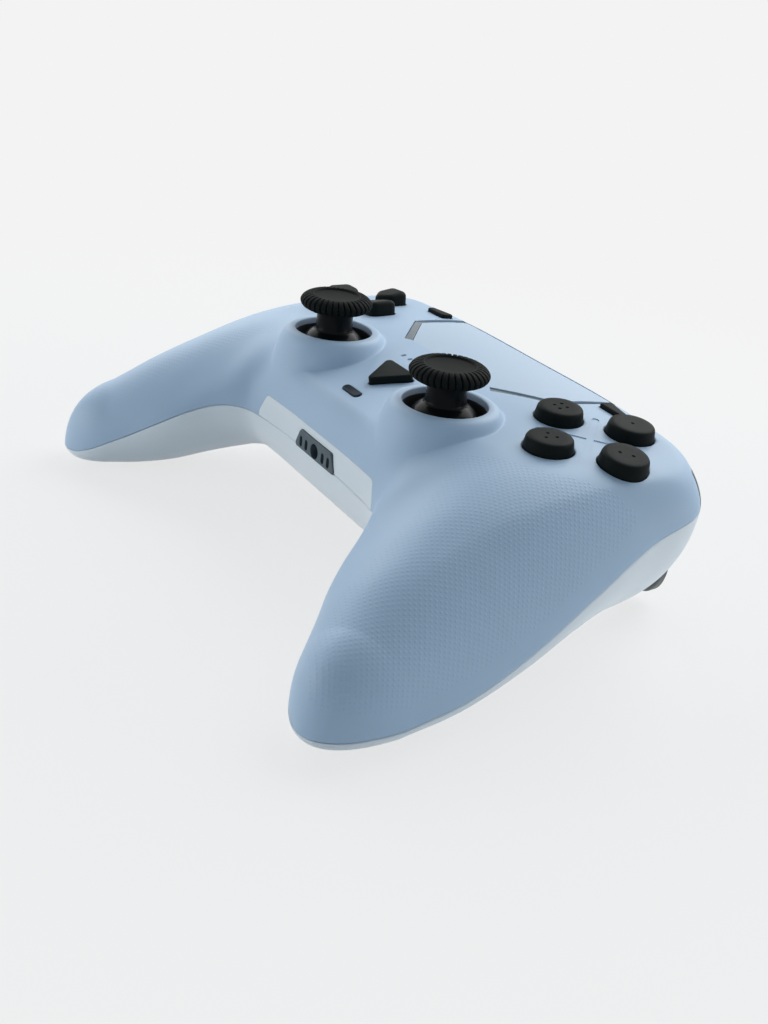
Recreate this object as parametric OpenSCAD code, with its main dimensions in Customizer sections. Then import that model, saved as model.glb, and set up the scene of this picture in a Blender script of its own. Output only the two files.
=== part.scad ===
// Gamepad controller: two-part shell lofted along the grips, two tilting sticks,
// four direction keys, four face buttons, click pad, bumpers and sprung triggers.
// Drawn with y = 0 at the stick centres and z = 0 at the stick rims, then set on
// the floor: x runs to the right of the player, y away from the player, z up.
// All sizes in millimetres.

/* [Body] */
// Width across the two grips
body_w = 164.6; // [150:0.5:180]
// Front face to back face
body_d = 67.1; // [60:0.5:80]
// Reach of the grips in front of the front face
grip_reach = 38.5; // [30:0.5:50]
// Stick rims above the lowest point of the grips
rim_height = 50; // [44:0.5:58]
// Wall of both shells
wall = 2.2; // [1.6:0.1:3]
// Visible gap between parts of the shell
seam_gap = 0.15; // [0.05:0.05:0.4]

/* [Sticks] */
// Distance between the stick centres
stick_spacing = 54; // [48:0.5:60]
// Hole in each collar
well_d = 20.1; // [18:0.1:24]
// Widest part of the thumb cap
cap_d = 18.8; // [14:0.1:20]
// Thickness of the thumb cap
cap_t = 4.2; // [3:0.1:6]
// Underside of the thumb cap above the rim
cap_lift = 5.1; // [4.5:0.1:10]
// Ribs around the thumb cap
cap_ribs = 36; // [20:2:60]
// Neck under the cap
neck_d = 9.6; // [6:0.1:12]
// Dust dome around the neck
dome_d = 20.4; // [17:0.1:24]
// Tilt axes below the rim
pivot_depth = 9; // [7:0.1:11]
// Guide shaft in the pivot block
shaft_d = 3.2; // [2:0.1:4]
// Axle pins of the gimbal ring and the pivot block
gimbal_pin_d = 2.4; // [1.6:0.1:3]
// Running clearance on radius of pins, shafts and axles
run = 0.05; // [0.02:0.01:0.09]

/* [Buttons] */
// Centre of the face buttons from the middle
group_x = 50.5; // [44:0.5:54]
// Centre of the face buttons behind the sticks
group_y = 24.3; // [18:0.1:30]
// Centre of the direction keys from the middle
dpad_x = 53.5; // [46:0.5:56]
// Centre of the direction keys behind the sticks
dpad_y = 23.4; // [18:0.1:28]
// Face button centre from its group centre
face_ring = 11.8; // [9:0.1:14]
// Face button at its foot
face_d = 11.5; // [9:0.1:14]
// Face button above the deck
face_h = 2.9; // [1.5:0.1:5]
// Direction key centre from its group centre
dpad_ring = 9.2; // [7:0.1:11]
// Direction key width
dpad_w = 8.6; // [6:0.1:10]
// Direction key length towards the group centre
dpad_l = 9.4; // [7:0.1:12]
// Direction key above the deck
dpad_h = 3.2; // [1.5:0.1:5]
// Side of the triangular home button
home_w = 13.2; // [9:0.1:16]
// Depth of the triangular home button
home_l = 10.6; // [8:0.1:13]
// Home button above the deck
home_h = 1.9; // [0.5:0.1:3]
// Length of the capsule button
mute_l = 7.2; // [5:0.1:10]
// Width of the capsule button
mute_w = 2.2; // [1.5:0.1:4]
// Length of the two wedge buttons behind the sticks
wedge_l = 8; // [5:0.1:9]
// Width of the two wedge buttons
wedge_w = 3.8; // [2.5:0.1:5]
// Gap around each button
button_gap = 0.2; // [0.1:0.05:0.4]
// Depth from the deck to the underside of a face button or direction key
key_depth = 8.6; // [7:0.1:9.5]

/* [Pad and lights] */
// Front edge of the click pad
pad_front_w = 36; // [28:0.5:44]
// Widest part of the click pad
pad_w = 64; // [56:0.5:66]
// Front edge of the pad behind the sticks
pad_y = 19; // [16:0.5:22]
// Depth of the pad, front to back
pad_l = 27.6; // [24:0.1:28]
// Pad surface below the rim plane
pad_drop = 2.2; // [1.8:0.1:3]
// Pad thickness
pad_t = 2; // [1.4:0.1:3]
// Width of the slanted light strip seen from above
strip_w = 2.4; // [1.5:0.1:3]
// Length of one indicator slit
led_l = 1.4; // [1:0.1:3]
// Width of one indicator slit
led_w = 0.9; // [0.5:0.1:1.5]
// Pitch of the two slits in each pair
led_pitch = 3.1; // [2:0.1:5]

/* [Front panel] */
// Width of the front panel along its lower edge
bezel_w = 58; // [44:0.5:62]
// Height of the front panel
bezel_h = 6.4; // [5:0.1:7.5]
// Width of the sound plate along its lower edge
plate_w = 21; // [16:0.1:26]
// Height of the sound plate
plate_h = 4.9; // [4.4:0.1:5.6]
// Bore of the headphone socket
jack_d = 3.6; // [3.5:0.05:3.8]
// Depth of the headphone socket
jack_depth = 12.5; // [10:0.5:15]
// Pitch of the two slots on each side of the socket
slot_pitch = 2.8; // [2:0.1:3.2]
// Width of each slot in the sound plate
slot_w = 1.3; // [0.8:0.1:1.8]

/* [Shoulders] */
// Width of one trigger
trigger_w = 23.6; // [18:0.1:26]
// Middle of each trigger from the middle of the body
trigger_x = 49.3; // [46:0.1:52]
// Trigger hinge pin
trigger_pin_d = 3; // [2:0.1:4]
// Wall of the trigger cheeks
cheek = 2.2; // [1.6:0.1:3]
// Depth of a bumper, back edge to its front edge
bumper_l = 7.1; // [6:0.1:10]
// Gap around a bumper, more than its travel
bumper_gap = 0.45; // [0.42:0.01:0.6]

/* [Inside] */
// Top of the main board below the rims
board_depth = 15.5; // [14.5:0.1:16.5]
// Main board thickness
board_t = 1.6; // [1:0.1:2]
// Battery width
cell_w = 46; // [36:0.5:50]
// Battery length
cell_l = 30; // [24:0.5:34]
// Battery thickness
cell_t = 8; // [5:0.1:10]
// Rumble motor can
motor_d = 12.4; // [9:0.1:14]
// Rumble motor length
motor_l = 16; // [12:0.5:20]
// Swing of the rumble weight
weight_d = 17; // [13:0.5:18]
// Case screw shank
screw_d = 2.6; // [2:0.1:3]

/* [Hidden] */
$fn = 40;
eps = 0.01;

// Section rows along one half, from the middle to the grip. Each row holds the front
// seam point, the back seam point, deck height at both, deck crown, share of the
// section rounded at both edges, floor height at both, share rounded at both.
kx = body_w / 164.6;
kb = body_d / 67.1;
kg = grip_reach / 38.5;
kz = rim_height / 50;
front_y = -17.5;
function gy(y) = front_y + (y - front_y) * kg;
function by(y) = front_y + (y - front_y) * kb;
function station(f, b, deck, crown, edge, base, base_edge) = [
    f[0] * kx, gy(f[1]), f[2] * kz,
    b[0] * kx, b[1] > front_y ? by(b[1]) : gy(b[1]), b[2] * kz,
    deck[0], deck[1], crown, edge[0], edge[1],
    base[0] * kz, base[1] * kz, base_edge, base_edge
];
rows = [
    station([0, -17.5, -23.6], [0, 49.6, -14], [-9.6, -3], 4.7, [.09, .045], [-37.5, -37.5], .16),
    station([14, -17.5, -23.6], [24, 49.6, -14], [-9.6, -3], 4.7, [.09, .045], [-37.5, -37.5], .16),
    station([26, -18, -23.9], [47, 48.8, -14], [-7, -3.1], 3.1, [.105, .06], [-37.5, -37.5], .18),
    station([33.2, -19.8, -23.4], [62.4, 47.3, -14], [-4.2, -3.4], .9, [.3, .09], [-38, -37.5], .23),
    station([37.5, -23.7, -23.4], [71.9, 40.7, -14], [-7.7, -6], 3.5, [.38, .14], [-40, -38], .29),
    station([41.4, -28.3, -24.8], [74.8, 26, -17.6], [-14.7, -9.2], 7, [.4, .23], [-43, -40], .37),
    station([45.2, -34.2, -28], [77.4, 10, -26], [-19.6, -12.9], 7.5, [.43, .34], [-46, -43], .44),
    station([49.4, -39.7, -32.1], [79.6, -6, -34.9], [-20.9, -17.6], 5.3, [.48, .43], [-48.6, -47], .48),
    station([54.3, -44.8, -36.5], [81.4, -22.5, -41.5], [-22.5, -22.5], 2.7, [.5, .5], [-49.8, -49.4], .5),
    station([59.3, -50.4, -40.8], [82.3, -38, -44.3], [-27.3, -27.1], .4, [.5, .5], [-50, -50], .5)
];
// Control row and end row of the rounded grip end
cap_bend = station([65.4, -57.4, -46.7], [82.2, -55, -45.4], [-31.5, -31.5], 0, [.5, .5], [-50, -50], .5);
cap_end = station([73.4, -57, -45.9], [73.4, -57, -45.9], [-45.9, -45.9], 0, [.5, .5],
    [-45.9, -45.9], .5);
last = len(rows) - 1;
mirror_row = [for (i = [0 : 14]) (i == 0 || i == 3) ? -rows[1][i] : rows[1][i]];
ctl = concat([mirror_row], rows, [2 * rows[last] - rows[last - 1]]);

function spline(a, b, c, d, f) = 0.5 * (2 * b + (c - a) * f + (2 * a - 5 * b + 4 * c - d) * f * f
    + (3 * b - a - 3 * c + d) * f * f * f);
function bend(a, b, c, q) = (1 - q) * (1 - q) * a + 2 * q * (1 - q) * b + q * q * c;
function lerp(a, b, f) = a + (b - a) * f;

// A row drawn in by the wall, for the hollow inside
function shrink(r, w) = let (
        f = [r[0], r[1], r[2]],
        b = [r[3], r[4], r[5]],
        k = w == 0 ? 0 : min(1.3 * w / max(norm(b - f), eps), .45)
    ) concat(lerp(f, b, k), lerp(b, f, k), [
        r[6] - w, r[7] - w, r[8], r[9], r[10], r[11] + w, r[12] + w, r[13], r[14]
    ]);
function pull(r, w) = [for (i = [0 : 14]) (i == 1 || i == 4) ? r[i] + 1.2 * w : r[i]];
function row(t, w = 0) = t > last
    ? bend(shrink(rows[last], w), pull(shrink(cap_bend, w), w), pull(shrink(cap_end, w), w), t - last)
    : let (k = min(floor(t), last - 1)) shrink(spline(ctl[k], ctl[k + 1], ctl[k + 2], ctl[k + 3], t - k), w);

// Quarter-round edge, 0 at the seam and 1 where the deck begins
function edge(q) = let (c = min(max(q, 0), 1)) sqrt(1 - (1 - c) * (1 - c));
function seam_z(r, s) = lerp(r[2], r[5], s);
function deck_at(r, s) = seam_z(r, s)
    + max(0, lerp(r[6], r[7], s) + 4 * r[8] * s * (1 - s) - seam_z(r, s)) * edge(s / r[9]) * edge((1 - s) / r[10]);
function floor_at(r, s) = seam_z(r, s)
    - max(0, seam_z(r, s) - lerp(r[11], r[12], s)) * edge(s / r[13]) * edge((1 - s) / r[14]);
function plan(r, s) = [lerp(r[0], r[3], s), lerp(r[1], r[4], s)];

// Where a point of the plan lies on the loft, and the deck and floor heights there
function beside(t, x, y) = let (r = row(t)) (r[3] - r[0]) * (y - r[1]) - (r[4] - r[1]) * (x - r[0]);
function find(x, y, lo = 0, hi = last + 0.9, n = 30) = n == 0 ? lo
    : let (m = (lo + hi) / 2) beside(m, x, y) < 0 ? find(x, y, m, hi, n - 1) : find(x, y, lo, m, n - 1);
function along(r, x, y) = ((x - r[0]) * (r[3] - r[0]) + (y - r[1]) * (r[4] - r[1]))
    / (pow(r[3] - r[0], 2) + pow(r[4] - r[1], 2));
function deck_z(x, y) = let (r = row(find(abs(x), y))) deck_at(r, along(r, abs(x), y));
function floor_z(x, y) = let (r = row(find(abs(x), y))) floor_at(r, along(r, abs(x), y));
function deck_n(x, y, d = 1.5) = let (n = [
        (deck_z(x - d, y) - deck_z(x + d, y)) / (2 * d),
        (deck_z(x, y - d) - deck_z(x, y + d)) / (2 * d),
        1
    ]) n / norm(n);

// Section loops across the whole body, left grip to right grip, or of a stretch of it on the right side only
function steps(per) = [for (i = [0 : per * last]) i / per];
function hollow_steps(per) = [for (i = [1 : per * last]) (i - .25) / per];
function cap_steps(n) = [for (i = [1 : n]) last + .965 * sin(90 * i / n)];
function share(j, m) = (1 - cos(180 * j / m)) / 2;
function top_half(t, w, open, m) = let (r = row(t, w)) concat(
    [for (j = [0 : m]) let (s = share(j, m)) concat(plan(r, s), [max(deck_at(r, s), seam_z(r, s) + .3 * open)])],
    open == 0 ? [] : [[r[3], r[4], r[5] - 3 * open], [r[0], r[1], r[2] - 3 * open]]);
function bottom_half(t, w, open, m) = let (r = row(t, w)) concat(
    [for (j = [m : -1 : 0]) let (s = share(j, m)) concat(plan(r, s), [min(floor_at(r, s), seam_z(r, s) - .3 * open)])],
    open == 0 ? [] : [[r[0], r[1], r[2] + 3 * open], [r[3], r[4], r[5] + 3 * open]]);
function flip(loop) = [for (p = loop) [-p[0], p[1], p[2]]];
function loops(top, w, open, per, caps, m, from = 0, to = last + 1, both = true) = let (
        ts = [for (t = concat(open == 0 ? steps(per) : hollow_steps(per), cap_steps(caps))) if (t >= from && t <= to) t],
        half = [for (t = ts) top ? top_half(t, w, open, m) : bottom_half(t, w, open, m)],
        n = len(half)
    ) both ? concat([for (i = [n - 1 : -1 : open == 0 ? 1 : 0]) flip(half[i])], half) : half;
module skin(sec, turn = 0) {
    n = len(sec);
    c = len(sec[0]);
    quads = [for (i = [0 : n - 2]) for (j = [0 : c - 1])
        [i * c + j, i * c + (j + 1) % c, (i + 1) * c + (j + 1) % c, (i + 1) * c + j]];
    polyhedron(
        points = [for (s = sec) for (p = s) p],
        faces = concat(
            [for (q = quads) [q[0], q[1], q[2 + turn]]],
            [for (q = quads) [q[turn], q[2], q[3]]],
            [[for (j = [c - 1 : -1 : 0]) j]],
            [[for (j = [0 : c - 1]) (n - 1) * c + j]]),
        convexity = 10);
}
across = 18;
module top_body(from = 0, to = last + 1, both = true) skin(loops(true, 0, 0, 3, 5, across, from, to, both));
bottom_loops = loops(false, 0, 0, 3, 5, across);
module bottom_body() skin(bottom_loops, 1);
module top_hollow(w = wall, from = 0, to = last + 1, both = true) skin(loops(true, w, 1, 2, 4, 14, from, to, both));
module bottom_hollow(w = wall) skin(loops(false, w, 1, 2, 4, 14));

// Placing
stick_x = stick_spacing / 2;
back_y = front_y + body_d;
module sides() {
    children();
    mirror([1, 0, 0]) children();
}
module lean(n) rotate(a = acos(min(1, n[2])), v = abs(n[0]) + abs(n[1]) < 1e-6 ? [1, 0, 0] : [-n[1], n[0], 0]) children();
module on_deck(x, y) translate([x, y, deck_z(x, y)]) lean(deck_n(x, y)) children();

// Outline with rounded corners
function arc(p, r, a0, a1, n) = [for (i = [0 : n]) p + r * [cos(lerp(a0, a1, i / n)), sin(lerp(a0, a1, i / n))]];
function unit(v) = v / norm(v);
function corner(a, p, b, r, n) = let (
        u = unit(a - p),
        v = unit(b - p),
        h = acos(max(-1, min(1, u * v))) / 2,
        o = p + unit(u + v) * r / sin(h),
        s = p + u * r / tan(h) - o,
        e = p + v * r / tan(h) - o,
        a0 = atan2(s[1], s[0]),
        d = atan2(e[1], e[0]) - a0,
        turn = d > 180 ? d - 360 : d < -180 ? d + 360 : d
    ) arc(o, r, a0, a0 + turn, n);
function soft(pts, r, n = 5) = let (c = len(pts)) [for (i = [0 : c - 1])
    each corner(pts[(i + c - 1) % c], pts[i], pts[(i + 1) % c], r, n)];

// Sticks
pivot_z = -pivot_depth;
board_z = -board_depth;
dome_r = dome_d / 2;
dome_in = dome_r - .9;
dome_edge = 58;
neck_r = neck_d / 2;
shaft_r = shaft_d / 2;
pin_r = gimbal_pin_d / 2;
base_w = 16;
base_wall = 1.5;
base_top = pivot_z + 1.2;
ring_w = 11.6;
ring_in = 8;
ring_t = 3.2;
block_w = 5.4;
block_h = 4.4;
cap_top = cap_lift + cap_t;
neck_top = cap_lift + cap_t - 1.6;
module at_stick(side) translate([side * stick_x, 0, 0]) children();

module stick_base() {
    difference() {
        union() {
            translate([-base_w / 2, -base_w / 2, board_z]) cube([base_w, base_w, base_top - board_z]);
            for (s = [-1, 1]) translate([s * (base_w - base_wall) / 2 - base_wall / 2, -2.6, base_top - 1])
                cube([base_wall, 5.2, pivot_z + 2.4 - base_top + 1]);
        }
        translate([-base_w / 2 + base_wall, -base_w / 2 + base_wall, board_z + 1.2])
            cube([base_w - 2 * base_wall, base_w - 2 * base_wall, 20]);
        translate([-base_w, 0, pivot_z]) rotate([0, 90, 0]) cylinder(r = pin_r + run, h = 2 * base_w);
    }
}
module stick_yoke() {
    translate([0, 0, pivot_z]) {
        difference() {
            translate([-ring_w / 2, -ring_w / 2, -ring_t / 2]) cube([ring_w, ring_w, ring_t]);
            translate([-ring_in / 2, -ring_in / 2, -ring_t]) cube([ring_in, ring_in, 2 * ring_t]);
            translate([0, ring_w, 0]) rotate([90, 0, 0]) cylinder(r = pin_r + run, h = 2 * ring_w);
        }
        for (s = [-1, 1]) scale([s, 1, 1]) translate([ring_w / 2 - .6, 0, 0]) rotate([0, 90, 0])
            cylinder(r = pin_r, h = base_w / 2 - .1 - ring_w / 2 + .6);
    }
}
module stick_pivot() {
    translate([0, 0, pivot_z]) {
        difference() {
            translate([-block_w / 2, -ring_in / 2 + .2, -block_h / 2]) cube([block_w, ring_in - .4, block_h]);
            translate([0, 0, -block_h]) cylinder(r = shaft_r + run, h = 2 * block_h);
        }
        for (s = [-1, 1]) scale([1, s, 1]) translate([0, ring_in / 2 - .6, 0]) rotate([-90, 0, 0])
            cylinder(r = pin_r, h = ring_w / 2 - .1 - ring_in / 2 + .6);
    }
}
module stick_stem() {
    function ball(r, a) = [r * sin(a), r * cos(a)];
    top_a = asin(neck_r / dome_r);
    in_a = asin(shaft_r / dome_in);
    pts = concat(
        [[0, -3.6], [shaft_r, -3.6], ball(dome_in, in_a)],
        [for (i = [1 : 8]) ball(dome_in, lerp(in_a, dome_edge, i / 8))],
        [for (i = [8 : -1 : 0]) ball(dome_r, lerp(top_a, dome_edge, i / 8))],
        [[neck_r, neck_top - pivot_z], [0, neck_top - pivot_z]]);
    translate([0, 0, pivot_z]) rotate_extrude() polygon(pts);
}
module stick_cap() {
    r = cap_d / 2;
    difference() {
        rotate_extrude() polygon([
            [0, cap_lift + .3], [neck_r + 1.2, cap_lift], [r - 1.6, cap_lift + .5], [r - .4, cap_lift + 1.2],
            [r, cap_lift + cap_t * .46], [r - .15, cap_lift + cap_t * .68], [r - .7, cap_top - .35],
            [r - 1.4, cap_top], [r - 2.2, cap_top - .1], [r - 3, cap_top - .55], [r - 4.6, cap_top - .95],
            [r * .25, cap_top - 1.2], [0, cap_top - 1.25]
        ]);
        translate([0, 0, cap_lift - 1]) cylinder(r = neck_r + run, h = neck_top - cap_lift + 1 + run);
        for (i = [0 : cap_ribs - 1]) rotate([0, 0, 360 * i / cap_ribs]) translate([r, 0, cap_lift + cap_t * .52])
            rotate([24, 0, 0]) cube([.55, .5, cap_t * 1.2], center = true);
    }
}
// Collar around a stick hole, steep towards the player
well_r = well_d / 2;
module collar() rotate_extrude($fn = 60) polygon([
    [well_r - .5, -3.4], [well_r - .5, -.5], [well_r + .4, -.15], [well_r + 1.1, 0], [well_r + 1.9, -.2],
    [well_r + 2.7, -.8], [well_r + 3.5, -2.2], [well_r + 4.3, -4.6], [well_r + 5.2, -8.4],
    [well_r + 6.2, -14.2], [well_r + 3.8, -14.2], [well_r + 3, -8.4], [well_r + 2.1, -4.6],
    [well_r + 1.6, -3.4]
]);
module well() union() {
    translate([0, 0, -20]) cylinder(r = well_r, h = 40, $fn = 60);
    translate([0, 0, pivot_z - 6]) cylinder(r = well_r + 1.6, h = -3.2 - pivot_z + 6, $fn = 60);
}

// Face buttons and direction keys
face_r = face_d / 2;
face_at = [for (a = [90, 0, 270, 180]) [group_x + face_ring * cos(a), group_y + face_ring * sin(a)]];
dpad_at = [for (a = [90, 0, 270, 180]) [-dpad_x + dpad_ring * cos(a), dpad_y + dpad_ring * sin(a)]];
seat = wall + .75;
// Flanges that lie under a slanting deck or the front edge sit deeper
face_seat = wall + 2.75;
mute_seat = seat + 1;
dpad_seat = wall + 1.5;
module face_button(i) on_deck(face_at[i][0], face_at[i][1]) difference() {
    rotate_extrude() polygon([
        [0, -key_depth], [face_r - 1, -key_depth], [face_r - 1, -face_seat - 1.2], [face_r + .9, -face_seat - 1.2],
        [face_r + .9, -face_seat], [face_r, -face_seat], [face_r, .45], [face_r - .2, .75], [face_r - .42, face_h - .7],
        [face_r - .6, face_h - .25], [face_r - 1.1, face_h], [0, face_h - .12]
    ]);
    for (k = [0 : i]) rotate([0, 0, 45 + 360 * k / (i + 1)]) translate([i == 0 ? 0 : 1.5, 0, face_h - .32])
        cylinder(d = .9, h = 1, $fn = 20);
}
function key_shape(w, l) = [[-w / 2, l / 2], [w / 2, l / 2], [w / 2, -l * .12], [0, -l / 2], [-w / 2, -l * .12]];
module key_block(g, z0, z1, r) translate([0, 0, z0]) linear_extrude(z1 - z0)
    polygon(soft(key_shape(dpad_w + 2 * g, dpad_l + 2 * g), r + g));
module at_key(i) on_deck(dpad_at[i][0], dpad_at[i][1]) rotate([0, 0, -90 * i]) children();
module dpad_key(i) at_key(i) {
    key_block(-.9, -key_depth, -dpad_seat - .6, 1.4);
    key_block(.5, -dpad_seat - 1.2, -dpad_seat, 1.4);
    key_block(0, -dpad_seat - .6, .5, 1.4);
    hull() {
        key_block(0, .4, .5, 1.4);
        key_block(-.3, .5, dpad_h - .8, 1.4);
        key_block(-.75, .6, dpad_h - .25, 1.4);
        key_block(-1.35, .7, dpad_h, 1.2);
    }
}

// Small buttons
home_y = .2;
mute_y = -8.8;
module home_block(g, z0, z1) translate([0, 0, z0]) linear_extrude(z1 - z0)
    polygon(soft([
        [-home_w / 2 - 1.6 * g, home_l / 2 + g], [home_w / 2 + 1.6 * g, home_l / 2 + g], [0, -home_l / 2 - 1.9 * g]
    ], 1.1));
module capsule(l, w, z0, z1) translate([0, 0, z0]) linear_extrude(z1 - z0) {
    square([l - w, w], center = true);
    for (s = [-1, 1]) translate([s * (l - w) / 2, 0]) circle(d = w, $fn = 24);
}
module home_button() on_deck(0, home_y) {
    home_block(-.5, -key_depth, -seat - .6);
    home_block(.7, -seat - 1, -seat);
    home_block(0, -seat - .6, home_h - .4);
    home_block(-.35, home_h - .5, home_h);
}
module mute_button() on_deck(0, mute_y) {
    capsule(mute_l - .6, mute_w - .6, -key_depth + 1, -mute_seat);
    capsule(mute_l + 1.4, mute_w + 1.4, -mute_seat - 1, -mute_seat);
    capsule(mute_l, mute_w, -mute_seat - .5, .35);
}
wedge_x = 38.9;
wedge_y = back_y - 8.1;
module wedge_block(g, z0, z1) translate([0, 0, z0]) linear_extrude(z1 - z0)
    polygon(soft([
        [-wedge_l / 2 - g, -wedge_w / 2 - g], [wedge_l / 2 + g, -wedge_w / 2 - g],
        [wedge_l / 2 + g, wedge_w * .1 + g], [-wedge_l / 2 - g, wedge_w / 2 + g]
    ], .6));
module at_wedge(side) scale([side, 1, 1]) on_deck(wedge_x, wedge_y) children();
module wedge_button(side) at_wedge(side) {
    wedge_block(.5, -seat - .8, -seat);
    wedge_block(0, -seat - .4, .7);
    wedge_block(-.3, .6, 1.1);
}

// Pad with slanted light strips at its sides
pad_z = -pad_drop;
pad_bend = [pad_w / 2 - 1, pad_y + 11];
pad_back = pad_y + pad_l;
pad_half = [[0, pad_y], [pad_front_w / 2, pad_y], pad_bend, [pad_w / 2, pad_back], [0, pad_back]];
strip_in = [pad_half[1], pad_bend, pad_half[3]];
strip_out = [pad_half[1] + [strip_w * .86, -strip_w * .5], pad_bend + [strip_w * .76, -strip_w * .42],
    pad_half[3] + [strip_w * .72, 0]];
pad_gap = .25;
function pad_line(half) = concat(half, [for (i = [len(half) - 1 : -1 : 0]) [-half[i][0], half[i][1]]]);
module touchpad() {
    half = [[pad_front_w / 2 - pad_gap * .8, pad_y + pad_gap], pad_bend + [-pad_gap, pad_gap * .6],
        [pad_w / 2 - pad_gap, pad_back - pad_gap]];
    line = concat(half, [for (i = [2 : -1 : 0]) [-half[i][0], half[i][1]]]);
    translate([0, 0, pad_z - pad_t]) linear_extrude(pad_t) polygon(soft(line, .8));
    for (s = [-1, 1]) translate([s * 20 - 2, pad_back - 5, pad_z - pad_t - 1.8]) cube([4, 4, 2.4]);
}
function strip_top(p) = deck_z(p[0], p[1]) - .1;
module light_bar(side) scale([side, 1, 1]) skin([for (i = [0 : 2]) let (
        a = strip_in[i],
        b = strip_out[i],
        u = unit(b - a),
        c = b - u * seam_gap,
        d = a + u * .05
    ) [
        [d[0], d[1], pad_z - pad_t], [d[0], d[1], pad_z], [c[0], c[1], strip_top(b)], [c[0], c[1], pad_z - pad_t]
    ]]);
module pad_cut() {
    half = concat([[pad_front_w / 2, pad_y]], strip_out);
    line = concat(half, [for (i = [len(half) - 1 : -1 : 0]) [-half[i][0], half[i][1]]]);
    translate([0, 0, -12]) linear_extrude(20) polygon(line);
}
led_x = 6.4;
led_y = 11.3;
module lens_block(g, z0, z1) rotate([0, 0, 90]) capsule(led_l + 2 * g, led_w + 2 * g, z0, z1);
module each_led() for (s = [-1, 1], k = [0, 1]) on_deck(s * (led_x + k * led_pitch), led_y) children();
module indicator_lights() each_led() {
    lens_block(0, -wall - .4, -.05);
    lens_block(.4, -wall - 1.2, -wall - .3);
}

// Front panel with the sound plate and headphone socket
seam_front = rows[0][2];
bezel_low = seam_front + .05;
bezel_top = bezel_low + bezel_h;
jack_z = seam_front + 1.85;
function trapezoid(wl, wt, z0, z1) = [[-wl / 2, z0], [wl / 2, z0], [wt / 2, z1], [-wt / 2, z1]];
module front_prism(g) translate([0, front_y + 4.5, 0]) rotate([90, 0, 0]) linear_extrude(12)
    polygon([
        [-bezel_w / 2 - g, bezel_low - 3], [bezel_w / 2 + g, bezel_low - 3], [bezel_w / 2 + g, bezel_low + .8],
        [bezel_w / 2 - 3.6 + g, bezel_top - 1.2 + g], [bezel_w / 2 - 5 + g, bezel_top + g],
        [-bezel_w / 2 + 5 - g, bezel_top + g], [-bezel_w / 2 + 3.6 - g, bezel_top - 1.2 + g],
        [-bezel_w / 2 - g, bezel_low + .8]
    ]);
plate_low = seam_front - .35;
module plate_prism(g, y0, y1) translate([0, y1, 0]) rotate([90, 0, 0]) linear_extrude(y1 - y0)
    polygon(soft([
        [-plate_w / 2 - g, plate_low - g], [plate_w / 2 + g, plate_low - g],
        [plate_w / 2 - 2.4 + g, plate_low + plate_h + g], [-plate_w / 2 + 2.4 - g, plate_low + plate_h + g]
    ], .9));
plate_front = front_y - .3;
jack_r = jack_d / 2;
module audio_plate() difference() {
    plate_prism(0, plate_front, front_y + 2.2);
    translate([0, front_y + 4, jack_z]) rotate([90, 0, 0]) cylinder(r = jack_r + .15, h = 8);
    for (s = [-1, 1], k = [0, 1]) translate([s * (4.3 + k * slot_pitch), front_y, jack_z - .1])
        cube([slot_w, 8, 2.7], center = true);
}
module audio_jack() translate([0, front_y + 2.3, jack_z]) rotate([-90, 0, 0]) difference() {
    union() {
        cylinder(r = jack_r + .5, h = jack_depth);
        translate([0, 0, 1.2]) cylinder(r = jack_r + 1.1, h = jack_depth - 1.2);
        translate([-3.2, jack_z - board_z + board_t + .05, 2.2])
            cube([6.4, board_z - board_t - jack_z + jack_r + 1.05, jack_depth - 2.2]);
    }
    translate([0, 0, -1]) cylinder(r = jack_r, h = jack_depth);
}
module front_bezel() difference() {
    intersection() {
        difference() {
            top_body(to = 3.4);
            top_hollow(to = 3.4);
        }
        front_prism(-seam_gap);
    }
    plate_prism(seam_gap, front_y - 4, front_y + 6);
}

// Bumpers and triggers
bumper_y = back_y - bumper_l;
bumper_top = -6.4;
module bumper_zone(g) translate([trigger_x - trigger_w / 2 - .4 - g, bumper_y - g, -16])
    cube([60, 40, bumper_top + 16 + g]);
module bumper(side) scale([side, 1, 1]) intersection() {
    difference() {
        top_body(1.2, 4.8, false);
        top_hollow(wall + .2, .8, 5, false);
        translate([0, 0, rows[3][5] - 9.85]) cube([200, 200, 20], center = true);
    }
    bumper_zone(0);
}
trigger_y = back_y - 10.6;
trigger_z = -21;
trigger_tip_y = back_y + 5.9;
tip_drop = 47.4;
trigger_face = [
    [trigger_y + 6.4, -15.2], [back_y - 1.8, -16.4], [back_y + .8, -20], [back_y + 2, -26], [back_y + 2.7, -33],
    [back_y + 3.9, -40], [trigger_tip_y, -tip_drop + .8], [trigger_tip_y - .9, -tip_drop],
    [back_y + 2.6, -tip_drop + .4], [back_y + .6, -41.5], [back_y - .8, -34.6], [back_y - 4.5, -29.6],
    [trigger_y - 1.5, -25], [trigger_y - 3.2, -21.6], [trigger_y - 2.4, -18]
];
trigger_inner = [
    [trigger_y + 5, -17.6], [trigger_y + 6.4, -20], [trigger_y + 6.4, -24.4], [trigger_y + 5.2, -27.9],
    [trigger_y - 6, -26], [trigger_y - 6, -17.6]
];
pin_hole = trigger_pin_d / 2 + run;
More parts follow.
